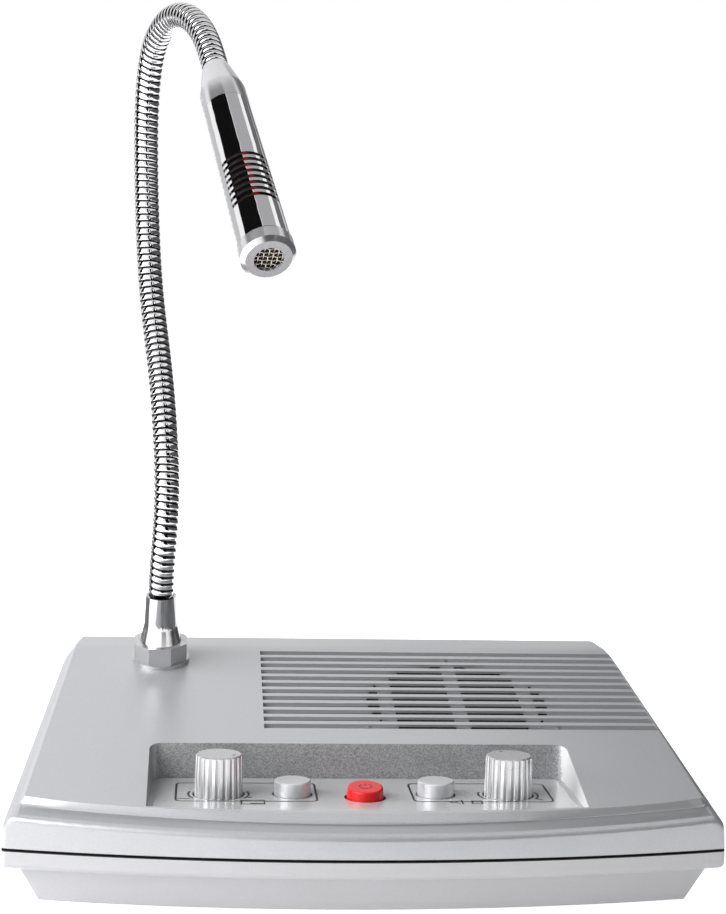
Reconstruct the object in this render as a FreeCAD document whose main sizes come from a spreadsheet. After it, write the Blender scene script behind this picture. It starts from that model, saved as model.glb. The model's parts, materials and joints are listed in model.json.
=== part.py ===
import FreeCAD, Part
import math
import os
import re
import Sketcher
from FreeCAD import Placement, Rotation, Vector

# Counter intercom: a sloped two-part housing with a control recess, a loudspeaker behind a
# slotted grille and a microphone on a gooseneck. Millimetres, +Z up, -Y towards the clerk,
# Z = 0 on the counter. X = Y = 0 is the middle of the housing.

doc = FreeCAD.newDocument("Intercom")

# ---------------------------------------------------------------- driving dimensions
SIZES = {
    "housing": {
        "base_width": 192.0, "base_depth": 127.0, "front_bow": 11.0, "side_taper": 3.7,
        "front_corner": 2.0, "rear_corner": 3.0, "room_corner": 1.5, "side_round": 4.0,
        "shell_draft": 2.5, "joint_height": 17.2, "joint_gap": 0.5, "side_wall": 2.4,
        "roof_wall": 3.2,
    },
    "top surface": {
        "top_slope": 13.0, "front_top": 28.1, "shelf_start": 104.8, "shelf_blend": 40.0,
        "step_height": 2.0, "step_side": 3.7, "step_front": 5.8, "step_rear": 3.5,
        "step_chamfer": 1.4, "step_corner": 2.0,
    },
    "bottom cover": {
        "band_height": 5.1, "band_round": 1.5, "tub_side_top": 4.2, "tub_front_top": 3.0,
        "tub_side_low": 9.1, "tub_front_low": 6.0, "floor_wall": 2.2,
        "lip_height": 2.4, "lip_wall": 1.2, "lip_gap": 0.15,
    },
    "feet": {
        "foot_radius": 6.0, "foot_height": 3.0, "foot_sink": 1.0, "foot_x_front": 62.0,
        "foot_x_rear": 58.0, "foot_y_front": -43.0, "foot_y_rear": 50.0,
    },
    "cover screws": {
        "boss_radius": 3.8, "boss_x_front": 75.0, "boss_x_rear": 68.0, "boss_y_front": -38.0,
        "boss_y_rear": 52.0, "boss_split": 10.0, "screw_radius": 1.5, "screw_length": 12.0,
        "screw_head_radius": 2.8, "screw_head_height": 2.0, "screw_clearance": 0.05,
        "counterbore_clearance": 0.4, "screw_seat": 6.6,
    },
    "control recess": {
        "recess_front": 1.4, "recess_width_front": 117.0, "recess_width_back": 116.0,
        "recess_length": 35.6, "recess_bow": 2.4, "recess_floor": 27.3, "recess_draft": 5.0,
        "recess_corner": 3.5, "tray_wall": 2.2, "overlay_thick": 0.3, "overlay_margin": 2.0,
    },
    "grille": {
        "grille_x": 31.4, "grille_centre": 68.6, "grille_radius": 27.0, "groove_start": 48.8,
        "groove_pitch": 4.8, "groove_width": 2.9, "groove_depth": 1.3, "groove_left": -26.6,
        "groove_count": 12, "land_thick": 0.8, "grille_bar": 4.3, "grille_bay": 21.2,
    },
    "controls": {
        "controls_y": 18.5, "power_y": 15.2, "knob_x": 39.6, "button_x": 19.6,
        "knob_radius": 6.6, "knob_top_radius": 6.3, "knob_height": 12.0, "knob_sink": 0.9,
        "knob_hole_gap": 0.5, "knob_flutes": 20, "flute_radius": 0.7, "knob_edge": 0.4,
        "knob_shaft_bore": 9.5, "pointer_radius": 0.6, "pointer_offset": 4.4, "pointer_depth": 0.3,
        "left_knob_angle": -22.0, "right_knob_angle": 111.0, "flute_offset": 0.15,
        "button_radius": 5.0, "button_height": 4.0, "button_flange": 0.9, "power_draft": 4.0,
        "button_hole_gap": 0.5, "button_edge": 0.3, "button_travel": 1.0, "power_radius": 5.2,
        "power_front": 2.4, "power_tilt": 7.7, "power_edge": 0.6, "power_travel": 1.6,
    },
    "control board": {
        "board_thick": 1.6, "control_board_z": 15.6, "control_board_width": 112.0,
        "control_board_front": 5.0, "control_board_length": 30.0, "post_radius": 2.6,
        "post_x": 51.0, "post_front": 9.0, "post_back": 30.0, "board_screw_radius": 1.1,
        "board_screw_head": 2.2, "board_screw_head_height": 1.3, "board_screw_length": 6.0,
        "pot_width": 9.8, "pot_length": 11.4, "pot_height": 6.4, "shaft_radius": 3.0,
        "shaft_flat": 1.5, "shaft_clearance": 0.05, "shaft_top_gap": 1.0, "bush_radius": 4.2,
        "bush_height": 1.6, "switch_side": 7.4, "switch_height": 4.4, "shaft_foot": 1.0,
        "plunger_side": 3.0,
        "plunger_top": 1.6, "plunger_gap": 0.05, "plunger_sink": 2.0, "power_switch_side": 9.0,
    },
    "speaker": {
        "cloth_radius": 29.0, "cloth_thick": 0.4, "gasket_inner": 25.5, "gasket_thick": 1.2,
        "speaker_radius": 28.5, "flange_thick": 1.0, "basket_wall": 0.8, "basket_neck": 13.0,
        "basket_depth": 11.5, "cone_edge": 24.6, "cone_neck": 6.8, "cone_depth": 8.5,
        "cone_wall": 0.4, "dust_cap_height": 2.6, "magnet_radius": 14.5,
        "magnet_height": 6.0, "yoke_radius": 12.5, "yoke_height": 2.0, "coil_wall": 0.5,
        "window_width": 9.0, "window_count": 4, "speaker_lug": 32.0, "speaker_screws": 3,
        "lug_post_radius": 2.4, "clamp_radius": 4.6, "clamp_thick": 0.8,
    },
    "gooseneck": {
        "neck_x": -57.5, "neck_up": 97.4, "neck_radius": 3.9, "neck_bore": 2.0,
        "neck_ball": 3.6, "socket_gap": 0.1, "flange_radius": 8.8, "flange_height": 1.2,
        "nut_flat_radius": 8.0, "nut_height": 5.4, "nut_sides": 8,
        "flare_radius": 6.3, "flare_height": 5.6, "sleeve_foot": 5.0, "sleeve_radius": 4.6,
        "sleeve_height": 10.3, "socket_drop": 1.2,
        "stem_radius": 5.0, "stem_length": 12.0, "locknut_radius": 8.5,
        "locknut_height": 3.0, "locknut_room": 0.4, "neck_links": 6,
    },
    "microphone": {
        "mic_length": 81.4, "mic_dip": 43.1, "mic_turn": 14.2, "adapter_length": 19.5,
        "adapter_neck": 4.4, "adapter_flare": 2.0, "adapter_shoulder": 12.0, "mic_radius_back": 6.6,
        "mic_radius_front": 7.2, "mic_wall": 0.9, "cap_radius": 7.5, "cap_length": 5.2,
        "seam_groove": 0.5, "slot_first": 45.5, "slot_pitch": 2.43, "slot_width": 1.3,
        "slot_rows": 8, "slot_angle": 150.0, "mesh_radius": 4.0, "mesh_thick": 0.5,
        "mesh_sink": 0.8, "capsule_radius": 4.9, "capsule_length": 6.5, "lamp_radius": 5.6,
        "lamp_wall": 1.2, "lamp_length": 20.0, "lamp_start": 45.0, "cap_edge": 1.2,
        "capsule_gap": 0.3,
    },
    "main board": {
        "main_board_z": 9.0, "main_board_width": 104.0, "main_board_length": 56.0,
        "main_board_x": 12.0, "main_board_y": 17.0, "standoff_radius": 3.0,
        "standoff_inset": 5.0, "heatsink_width": 26.0, "heatsink_length": 12.0,
        "heatsink_height": 12.0, "fin_thick": 1.2, "fin_count": 6, "heatsink_base": 2.0,
        "chip_width": 16.0, "chip_length": 7.0, "chip_height": 2.6, "capacitor_radius": 4.0,
        "capacitor_height": 11.0, "capacitor_x": -31.0, "capacitor_y": 12.0,
        "capacitor_pitch": 11.0, "capacitor_count": 3, "chip_x": -20.0, "chip_y": 34.0,
        "plug_x": -23.0, "plug_y": -5.0, "plug_pitch": 16.0, "plug_count": 3,
        "connector_width": 10.0, "connector_length": 5.8, "connector_height": 6.4, "seat_gap": 0.05,
    },
    "rear sockets": {
        "jack_height": 33.0, "jack_pitch": 22.0, "jack_x": 18.0, "jack_bore": 1.8,
        "jack_bush": 3.0, "jack_body": 4.6, "jack_depth": 15.0, "jack_nut": 4.4,
        "jack_nut_height": 1.8, "dc_x": 50.0, "dc_bore": 2.85, "dc_bush": 4.0, "dc_body": 5.6,
        "dc_depth": 14.0, "dc_nut": 5.8, "dc_pin": 0.95, "bush_nose": 0.8, "dc_recess": 9.0,
        "jack_bore_depth": 14.0, "dc_pin_setback": 1.0,
    },
    "wiring": {
        "lead_radius": 0.7, "lead_pitch": 3.0, "ribbon_width": 9.0, "ribbon_thick": 0.6,
        "ribbon_edge": 4.0, "ribbon_drop": 2.0,
    },
}

sheet = doc.addObject("Spreadsheet::Sheet", "Sizes")
row = 1
for group, cells in SIZES.items():
    sheet.set("A%d" % row, group)
    row += 1
    for alias, size in cells.items():
        sheet.set("A%d" % row, alias)
        sheet.set("B%d" % row, repr(size))
        sheet.setAlias("B%d" % row, alias)
        row += 1
doc.recompute()

ALIASES = {alias for cells in SIZES.values() for alias in cells}
NAME = re.compile(r"\b[a-z]+(?:_[a-z]+)+\b")


# ---------------------------------------------------------------- formulas and sketches
def qualified(formula):
    """The formula with each size's name pointed at the sheet."""
    return NAME.sub(lambda m: "Sizes." + m.group(0) if m.group(0) in ALIASES else m.group(0), formula)


def size(formula):
    """The present value of a formula of sizes."""
    found = sheet.evalExpression(qualified(str(formula)))
    return float(getattr(found, "Value", found))


def bind(thing, prop, formula):
    """Drive a property with a formula of sizes."""
    thing.setExpression(prop, qualified(str(formula)))


def pin_point(sketch, geometry, point, x, y):
    """Dimension one point of a sketch from the sketch's origin."""
    for kind, straight, formula in (("DistanceX", "Vertical", x), ("DistanceY", "Horizontal", y)):
        if str(formula) == "0":
            sketch.addConstraint(Sketcher.Constraint(straight, -1, 1, geometry, point))
            continue
        number = sketch.addConstraint(
            Sketcher.Constraint(kind, -1, 1, geometry, point, size(formula)))
        bind(sketch, "Constraints[%d]" % number, formula)


def outline(sketch, corners, radii=None, hollow=()):
    """A closed loop, anticlockwise; an edge named in radii is an arc that bulges outwards,
    or inwards where hollow names it too."""
    radii = radii or {}
    points = [Vector(size(x), size(y), 0) for x, y in corners]
    first = sketch.GeometryCount
    count = len(points)
    for i, start in enumerate(points):
        end = points[(i + 1) % count]
        if i in radii:
            chord = end - start
            inward = Vector(-chord.y, chord.x, 0).normalize()
            radius = size(radii[i])
            sagitta = radius - math.sqrt(radius ** 2 - (chord.Length / 2) ** 2)
            rise = sagitta if i in hollow else -sagitta
            sketch.addGeometry(Part.Arc(start, (start + end) * 0.5 + inward * rise, end))
        else:
            sketch.addGeometry(Part.LineSegment(start, end))
    # a sketch keeps each arc anticlockwise, so a hollow edge begins at its second point
    begins = [2 if i in hollow else 1 for i in range(count)]
    for i, (x, y) in enumerate(corners):
        following = (i + 1) % count
        sketch.addConstraint(Sketcher.Constraint(
            "Coincident", first + i, 3 - begins[i], first + following, begins[following]))
        pin_point(sketch, first + i, begins[i], x, y)
    for i, radius in radii.items():
        number = sketch.addConstraint(
            Sketcher.Constraint("Radius", first + i, size(radius)))
        bind(sketch, "Constraints[%d]" % number, radius)


def rectangle(sketch, x0, y0, x1, y1):
    outline(sketch, [(x0, y0), (x1, y0), (x1, y1), (x0, y1)])


def disc(sketch, x, y, radius):
    first = sketch.GeometryCount
    sketch.addGeometry(Part.Circle(Vector(size(x), size(y), 0), Vector(0, 0, 1), size(radius)))
    pin_point(sketch, first, 3, x, y)
    number = sketch.addConstraint(Sketcher.Constraint("Radius", first, size(radius)))
    bind(sketch, "Constraints[%d]" % number, radius)


def regular_polygon(sketch, flat_radius, sides):
    """A regular polygon about the origin, given by the distance to its flats."""
    count = int(size(sides))
    corner = "(%s) / cos(180deg / %d)" % (flat_radius, count)
    corners = []
    for i in range(count):
        angle = "(%d + 0.5) * 360deg / %d" % (i, count)
        corners.append(("%s * cos(%s)" % (corner, angle), "%s * sin(%s)" % (corner, angle)))
    outline(sketch, corners)


# ---------------------------------------------------------------- bodies and features
pieces = []


class Piece:
    """A PartDesign body with short calls for the features that the pieces are made of."""

    def __init__(self, label, helper=False):
        self.body = doc.addObject("PartDesign::Body", "Body_" + label)
        self.body.Label = label
        self.body.AllowCompound = True
        if not helper:
            pieces.append(self.body)

    def place(self, x="0", y="0", z="0", axis=None, angle="0"):
        """Put the body's origin at a point, turned about an axis of the frame."""
        if axis is not None:
            self.body.Placement = Placement(Vector(), Rotation(axis, size(angle)))
            bind(self.body, "Placement.Rotation.Angle", "(%s) * 1deg" % angle)
        for key, formula in (("x", x), ("y", y), ("z", z)):
            bind(self.body, "Placement.Base." + key, "(%s) * 1mm" % formula)
        return self

    def sketch(self, name, plane="XY_Plane", height="0", tilt=None, shift="0"):
        """A sketch on an origin plane, raised by height; tilt turns it about its X axis."""
        drawing = self.body.newObject("Sketcher::SketchObject", name)
        origin = [item for item in self.body.Origin.OriginFeatures if item.Role == plane][0]
        drawing.AttachmentSupport = [(origin, "")]
        drawing.MapMode = "FlatFace"
        if tilt is not None:
            drawing.AttachmentOffset = Placement(Vector(), Rotation(Vector(1, 0, 0), size(tilt)))
            bind(drawing, "AttachmentOffset.Rotation.Angle", "(%s) * 1deg" % tilt)
        bind(drawing, "AttachmentOffset.Base.y", "(%s) * 1mm" % shift)
        bind(drawing, "AttachmentOffset.Base.z", "(%s) * 1mm" % height)
        return drawing

    def feature(self, kind, name, drawing, **settings):
        made = self.body.newObject("PartDesign::" + kind, name)
        made.Profile = drawing
        drawing.Visibility = False
        for prop, setting in settings.items():
            setattr(made, prop, setting)
        return made

    def pad(self, drawing, length, name="Pad", taper=None, **settings):
        made = self.feature("Pad", name, drawing, **settings)
        bind(made, "Length", "(%s) * 1mm" % length)
        if taper is not None:
            bind(made, "TaperAngle", "(%s) * 1deg" % taper)
        doc.recompute()
        return made

    def pocket(self, drawing, length, name="Pocket", taper=None, **settings):
        made = self.feature("Pocket", name, drawing, **settings)
        bind(made, "Length", "(%s) * 1mm" % length)
        if taper is not None:
            bind(made, "TaperAngle", "(%s) * 1deg" % taper)
        doc.recompute()
        return made

    def turn(self, drawing, kind="Revolution", name="Turn"):
        """Revolve a sketch on the XZ plane about the body's Z axis."""
        made = self.feature(kind, name, drawing)
        made.ReferenceAxis = (drawing, ["V_Axis"])
        made.Angle = 360.0
        doc.recompute()
        return made

    def loft(self, kind, low, high, name="Loft"):
        made = self.feature(kind, name, low)
        made.Sections = [high]
        made.Ruled = True
        high.Visibility = False
        doc.recompute()
        return made

    def dress(self, kind, name, chosen, amount):
        """Fillet or chamfer the edges that the test picks on the present tip."""
        base = self.body.Tip
        names = ["Edge%d" % (i + 1) for i, edge in enumerate(base.Shape.Edges) if chosen(edge)]
        made = self.body.newObject("PartDesign::" + kind, name)
        made.Base = (base, names)
        bind(made, "Radius" if kind == "Fillet" else "Size", "(%s) * 1mm" % amount)
        doc.recompute()
        return made

    def polar(self, features, count, name="Around"):
        made = self.body.newObject("PartDesign::PolarPattern", name)
        made.Originals = features
        axis = [item for item in self.body.Origin.OriginFeatures if item.Role == "Z_Axis"][0]
        made.Axis = (axis, [""])
        made.Angle = 360.0
        bind(made, "Occurrences", count)
        self.body.Tip = made
        doc.recompute()
        return made

    def linear(self, features, drawing, pitch, count, name="Along", axis="V_Axis"):
        made = self.body.newObject("PartDesign::LinearPattern", name)
        made.Originals = features
        made.Direction = (drawing, [axis])
        bind(made, "Length", "(%s) * (%s - 1) * 1mm" % (pitch, count))
        bind(made, "Occurrences", count)
        self.body.Tip = made
        doc.recompute()
        return made

    def cut_with(self, tool, name="Cut"):
        made = self.body.newObject("PartDesign::Boolean", name)
        made.Type = "Cut"
        made.setObjects([tool.body])
        doc.recompute()
        return made


def turned(label, profile, x="0", y="0", z="0", axis=None, angle="0", radii=None, hollow=()):
    """A body of revolution from one closed profile of (radius, height) corners."""
    piece = Piece(label)
    drawing = piece.sketch("Profile", "XZ_Plane")
    outline(drawing, profile, radii, hollow)
    piece.turn(drawing)
    return piece.place(x, y, z, axis, angle)


def step_profile(*steps):
    """Corners of a stepped solid of revolution from (radius, low, high) steps, going up."""
    corners = [("0", steps[0][1])]
    for radius, low, high in steps:
        corners += [(radius, low), (radius, high)]
    return corners + [("0", steps[-1][2])]


def vertical(edge):
    """True for an edge that runs up the body rather than along it."""
    box = edge.BoundBox
    return box.ZLength > 3 * max(box.XLength, box.YLength)


# ---------------------------------------------------------------- shared places
SLOPE = "(top_slope * 1deg)"
TOP = "(joint_height + joint_gap / 2)"
NOSE = "(jack_nut_height + bush_nose)"
LEAN = "tan(shell_draft * 1deg)"
NOSE_OUT = "(%s - %s * (jack_height - dc_nut - %s))" % (NOSE, LEAN, TOP)
FRONT = "((front_bow - base_depth - %s) / 2)" % NOSE_OUT
REAR = "((front_bow + base_depth - %s) / 2)" % NOSE_OUT
BOTTOM = "(joint_height - joint_gap / 2)"
SEAT = "(foot_height - foot_sink)"
FLOOR = "(%s + floor_wall)" % SEAT
CLEAR_OF_ALL = "(front_top + base_depth)"
ABOVE_ALL = "(2 * %s)" % CLEAR_OF_ALL


def roof(y):
    """Height of the sloped top surface at a place Y."""
    return "(front_top + ((%s) - %s) * tan%s)" % (y, FRONT, SLOPE)


def slope_y(distance):
    """Y of a point a distance up the slope from the front line."""
    return "(%s + (%s) * cos%s)" % (FRONT, distance, SLOPE)


def slope_z(distance):
    """Height of a point a distance up the slope from the front line."""
    return "(front_top + (%s) * sin%s)" % (distance, SLOPE)


def half_width(distance, side):
    """Half the housing's width, a distance behind the front line, less an inset."""
    return "(base_width / 2 - (%s) * tan(side_taper * 1deg) - (%s))" % (distance, side)


def housing_outline(drawing, side="0", front="0", rear="0"):
    """The housing's plan, inset: a taper with a bowed front."""
    half_front = half_width(front, side)
    half_rear = half_width("base_depth - (%s)" % rear, side)
    bow = "(front_bow * (%s * 2 / base_width)^2)" % half_front
    radius = "(((%s)^2 + %s^2) / (2 * %s))" % (half_front, bow, bow)
    y_front = "(%s + (%s))" % (FRONT, front)
    y_rear = "(%s - (%s))" % (REAR, rear)
    outline(drawing, [("-" + half_front, y_front), (half_front, y_front),
                      (half_rear, y_rear), ("-" + half_rear, y_rear)], {0: radius})


BEND = "(%s + shelf_start)" % FRONT


def above_roof(drawing, drop):
    """The side view of all that lies above the top surface lowered by drop."""
    tangent = "(shelf_blend * tan(%s / 2))" % SLOPE
    y_arc = "(%s - %s * cos%s)" % (BEND, tangent, SLOPE)
    y_flat = "(%s + %s)" % (BEND, tangent)
    far_front = "(-base_depth)"
    surface = ["(%s - (%s))" % (roof(y), drop) for y in (far_front, y_arc, BEND)]
    outline(drawing, [(far_front, surface[0]), (y_arc, surface[1]), (y_flat, surface[2]),
                      ("base_depth", surface[2]), ("base_depth", ABOVE_ALL),
                      (far_front, ABOVE_ALL)], {1: "shelf_blend"}, hollow=(1,))


def trim_to_roof(piece, drop, name):
    drawing = piece.sketch(name + "Profile", "YZ_Plane")
    above_roof(drawing, drop)
    return piece.pocket(drawing, "2 * base_width", name, Midplane=True)


# ---------------------------------------------------------------- top cover
def recess_outline(drawing, grow="0"):
    front = "(%s + recess_front - (%s))" % (FRONT, grow)
    back = "(%s + recess_front + recess_length + (%s))" % (FRONT, grow)
    half_front = "(recess_width_front / 2 + (%s))" % grow
    half_back = "(recess_width_back / 2 + (%s))" % grow
    radius = "((%s^2 + recess_bow^2) / (2 * recess_bow))" % half_front
    outline(drawing, [("-" + half_front, front), (half_front, front),
                      (half_back, back), ("-" + half_back, back)], {0: radius})


def round_corners(piece, name, front_radius, rear_radius, above="0"):
    """Round the upright edges that reach above a height."""
    lowest = size(above)
    for end, sign, radius in (("Front", -1, front_radius), ("Rear", 1, rear_radius)):
        piece.dress("Fillet", name + end, lambda edge: vertical(edge) and (
            edge.BoundBox.ZMax > lowest and edge.CenterOfMass.y * sign > 0), radius)


def end_face_edges(piece, sign):
    """A test for the edges round the housing's front (-1) or rear (1) face, but the lowest."""
    face = max(piece.body.Tip.Shape.Faces, key=lambda found: found.CenterOfMass.y * sign)
    lowest = face.BoundBox.ZMin
    return lambda edge: edge.BoundBox.ZMax > lowest + size("joint_gap") and any(
        edge.isSame(found) for found in face.Edges)


def roof_rim(piece, drop):
    """A test for the outer edges of the top surface lowered by drop."""
    shape = piece.body.Tip.Shape
    bend, slope = size(BEND), math.tan(math.radians(size("top_slope")))

    def chosen(edge):
        middle = edge.valueAt((edge.FirstParameter + edge.LastParameter) / 2)
        surface = size(roof(BEND)) + min(middle.y - bend, 0) * slope - size(drop)
        if abs(middle.z - surface) > size("step_height") / 2:
            return False
        normals = []
        for face in shape.ancestorsOfType(edge, Part.Face):
            u, v = face.Surface.parameter(middle)
            normals.append(abs(face.normalAt(u, v).z))
        return len(normals) == 2 and max(normals) > 0.9 and min(normals) < 0.5
    return chosen


def on_slope(piece, name, depth="0"):
    """A sketch on the sloped plane, a depth below it, with Y measured up the slope."""
    return piece.sketch(name, tilt="top_slope", shift="%s + (%s) * sin%s" % (FRONT, depth, SLOPE),
                        height="front_top - (%s) * cos%s" % (depth, SLOPE))


def grille_bays(drawing):
    """A disc less three bars: what is open below the lands of the grille."""
    reach = "grille_radius"
    inner = ("(grille_bar / 2)", "(grille_bay - grille_bar / 2)")
    outer = "(grille_bay + grille_bar / 2)"
    rise = lambda x: "sqrt(%s^2 - %s^2)" % (reach, x)
    for side in (1, -1):
        at = lambda x: "(grille_x + %d * %s)" % (side, x)
        up = lambda x: "(grille_centre + %s)" % rise(x)
        down = lambda x: "(grille_centre - %s)" % rise(x)
        near, far = inner if side > 0 else inner[::-1]
        outline(drawing, [(at(near), down(near)), (at(far), down(far)),
                          (at(far), up(far)), (at(near), up(near))],
                {0: reach, 2: reach})
        ends = [(at(outer), down(outer)), (at(outer), up(outer))]
        tip = (at(reach), "grille_centre")
        if side > 0:
            outline(drawing, [ends[0], tip, ends[1]], {0: reach, 1: reach})
        else:
            outline(drawing, [ends[1], tip, ends[0]], {0: reach, 1: reach})


LUG_DEPTH = "(roof_wall * cos%s)" % SLOPE
CONTROLS_Y = "(%s + controls_y)" % FRONT
POWER_Y = "(%s + power_y)" % FRONT
TRAY_TOP = "(recess_floor - overlay_thick)"
TRAY_UNDER = "(%s - tray_wall)" % TRAY_TOP


def control_holes(drawing):
    """The openings of the knobs and buttons in the recess floor."""
    for side in ("-", ""):
        disc(drawing, side + "knob_x", CONTROLS_Y, "knob_radius + knob_hole_gap")
        disc(drawing, side + "button_x", CONTROLS_Y, "button_radius + button_hole_gap")
    disc(drawing, "0", POWER_Y, "power_radius + button_hole_gap")


def pair(drawing, x, y, radius):
    for side in ("-", ""):
        disc(drawing, side + x, y, radius)


cavity = Piece("cover_cavity", helper=True)
room = cavity.sketch("Room", height="%s - joint_gap" % BOTTOM)
housing_outline(room, "side_wall", "side_wall", "side_wall")
cavity.pad(room, CLEAR_OF_ALL, "RoomPad", taper="-shell_draft")
round_corners(cavity, "RoomCorner", "room_corner", "room_corner")
trim_to_roof(cavity, "roof_wall", "Ceiling")
tray = cavity.sketch("Tray", height=TRAY_UNDER)
recess_outline(tray, "tray_wall")
cavity.pocket(tray, CLEAR_OF_ALL, "TrayKept", Reversed=True)

top_cover = Piece("top_cover")
skin = top_cover.sketch("Skin", height=TOP)
housing_outline(skin)
top_cover.pad(skin, CLEAR_OF_ALL, "SkinPad", taper="-shell_draft")
trim_to_roof(top_cover, "step_height", "Rim")
along_sides = roof_rim(top_cover, "step_height")
widest = size("base_width / 2 - base_depth * tan(side_taper * 1deg) - 2 * side_wall")
top_cover.dress("Fillet", "SideEdge", lambda edge: along_sides(edge) and (
    abs(edge.CenterOfMass.x) > widest), "side_round")
top_cover.dress("Fillet", "FrontEdge", end_face_edges(top_cover, -1), "front_corner")
top_cover.dress("Fillet", "RearEdge", end_face_edges(top_cover, 1), "rear_corner")
raised = top_cover.sketch("Plateau", height=TOP)
housing_outline(raised, "step_side", "step_front", "step_rear")
top_cover.pad(raised, CLEAR_OF_ALL, "PlateauPad")
trim_to_roof(top_cover, "0", "Surface")
top_cover.dress("Fillet", "StepCorner", lambda edge: vertical(edge) and (
    edge.BoundBox.ZLength < size("side_round")), "step_corner")
top_cover.dress("Chamfer", "StepEdge", roof_rim(top_cover, "0"), "step_chamfer")
top_cover.cut_with(cavity, "Hollow")

recess = top_cover.sketch("Recess", height=TRAY_TOP)
recess_outline(recess)
top_cover.pocket(recess, CLEAR_OF_ALL, "RecessPocket", taper="recess_draft", Reversed=True)
recess_back = Vector(size("recess_width_back / 2"),
                     size("%s + recess_front + recess_length" % FRONT), 0)
top_cover.dress("Fillet", "RecessCorner", lambda edge: vertical(edge) and (
    math.dist((abs(edge.CenterOfMass.x), edge.CenterOfMass.y), recess_back[:2])
    < size("tray_wall")), "recess_corner")

bays = on_slope(top_cover, "GrilleBays", "land_thick")
grille_bays(bays)
top_cover.pocket(bays, "2 * roof_wall", "GrilleBack")
groove = on_slope(top_cover, "Groove")
rectangle(groove, "groove_left", "groove_start", "base_width / 2", "groove_start + groove_width")
grooved = top_cover.pocket(groove, "groove_depth", "GroovePocket")
top_cover.linear([grooved], groove, "groove_pitch", "groove_count", "Grooves")

stem_hole = on_slope(top_cover, "StemHole")
disc(stem_hole, "neck_x", "neck_up", "stem_radius + shaft_clearance")
top_cover.pocket(stem_hole, "2 * roof_wall", "StemPocket")
seat = on_slope(top_cover, "LocknutSeat", LUG_DEPTH)
disc(seat, "neck_x", "neck_up", "locknut_radius / cos(180deg / nut_sides) + locknut_room")
top_cover.pocket(seat, "roof_wall", "LocknutPocket")
holes = top_cover.sketch("ControlHoles", height=TRAY_TOP)
control_holes(holes)
top_cover.pocket(holes, "2 * tray_wall", "ControlPocket")

for end, boss_y, ceiling in (("front", "boss_y_front", roof("boss_y_front")),
                             ("rear", "boss_y_rear", roof(BEND))):
    boss = top_cover.sketch("Boss_" + end, height="boss_split")
    pair(boss, "boss_x_" + end, boss_y, "boss_radius")
    top_cover.pad(boss, "%s - roof_wall / 2 - boss_split" % ceiling, "BossPad_" + end)
    drill = top_cover.sketch("BossHole_" + end, height="boss_split")
    pair(drill, "boss_x_" + end, boss_y, "screw_radius + screw_clearance")
    top_cover.pocket(drill, "screw_length", "BossDrill_" + end, Reversed=True)

BOARD_TOP = "(control_board_z + board_thick)"
for end in ("front", "back"):
    post = top_cover.sketch("Post_" + end, height=BOARD_TOP)
    pair(post, "post_x", "%s + post_%s" % (FRONT, end), "post_radius")
    top_cover.pad(post, "%s + tray_wall / 2 - %s" % (TRAY_UNDER, BOARD_TOP), "PostPad_" + end)
    drill = top_cover.sketch("PostHole_" + end, height=BOARD_TOP)
    pair(drill, "post_x", "%s + post_%s" % (FRONT, end), "board_screw_radius + screw_clearance")
    top_cover.pocket(drill, "board_screw_length", "PostDrill_" + end, Reversed=True)

FLANGE_FACE = "(%s + cloth_thick + gasket_thick + flange_thick)" % LUG_DEPTH


def around_speaker(drawing, radius, distance="speaker_lug"):
    """One disc at each of the speaker's fixing points."""
    for i in range(int(size("speaker_screws"))):
        angle = "(%d * 360deg / speaker_screws + 90deg)" % i
        disc(drawing, "grille_x + %s * cos(%s)" % (distance, angle),
             "grille_centre + %s * sin(%s)" % (distance, angle), radius)


lugs = on_slope(top_cover, "SpeakerLugs", FLANGE_FACE)
around_speaker(lugs, "lug_post_radius")
top_cover.pad(lugs, "%s - %s / 2" % (FLANGE_FACE, LUG_DEPTH), "LugPad")
lug_holes = on_slope(top_cover, "LugHoles", FLANGE_FACE)
around_speaker(lug_holes, "board_screw_radius + screw_clearance")
top_cover.pocket(lug_holes, "board_screw_length - clamp_thick", "LugDrill", Reversed=True)

BACK_WALL = "(%s + front_bow)" % REAR
JACKS = {"outside_speaker_jack": "(jack_x - jack_pitch)", "recorder_jack": "jack_x"}
sockets = top_cover.sketch("SocketHoles", "XZ_Plane", height="-" + BACK_WALL)
for jack_place in JACKS.values():
    disc(sockets, jack_place, "jack_height", "jack_bush + seat_gap")
disc(sockets, "dc_x", "jack_height", "dc_bush + seat_gap")
top_cover.pocket(sockets, "front_bow + 3 * side_wall", "SocketPocket", Reversed=True)

# ---------------------------------------------------------------- bottom cover
BAND_LOW = "(joint_height - band_height)"
bottom_cover = Piece("bottom_cover")
band = bottom_cover.sketch("Band", height=BAND_LOW)
housing_outline(band)
bottom_cover.pad(band, "%s - %s" % (BOTTOM, BAND_LOW), "BandPad")
round_corners(bottom_cover, "BandCorner", "front_corner", "rear_corner")
lowest = size(BAND_LOW)
bottom_cover.dress("Fillet", "BandEdge", lambda edge: edge.BoundBox.ZMax < lowest + 1e-3,
                   "band_round")
tub_high = bottom_cover.sketch("TubHigh", height=BAND_LOW)
housing_outline(tub_high, "tub_side_top", "tub_front_top", "tub_front_top")
tub_low = bottom_cover.sketch("TubLow", height=SEAT)
housing_outline(tub_low, "tub_side_low", "tub_front_low", "tub_front_low")
bottom_cover.loft("AdditiveLoft", tub_high, tub_low, "Tub")
inner_high = bottom_cover.sketch("InnerHigh", height="%s + floor_wall" % BAND_LOW)
housing_outline(inner_high, "tub_side_top + side_wall", "tub_front_top + side_wall",
                "tub_front_top + side_wall")
inner_low = bottom_cover.sketch("InnerLow", height=FLOOR)
housing_outline(inner_low, "tub_side_low + side_wall", "tub_front_low + side_wall",
                "tub_front_low + side_wall")
bottom_cover.loft("SubtractiveLoft", inner_high, inner_low, "TubRoom")
open_top = bottom_cover.sketch("OpenTop", height="%s + floor_wall" % BAND_LOW)
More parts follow.
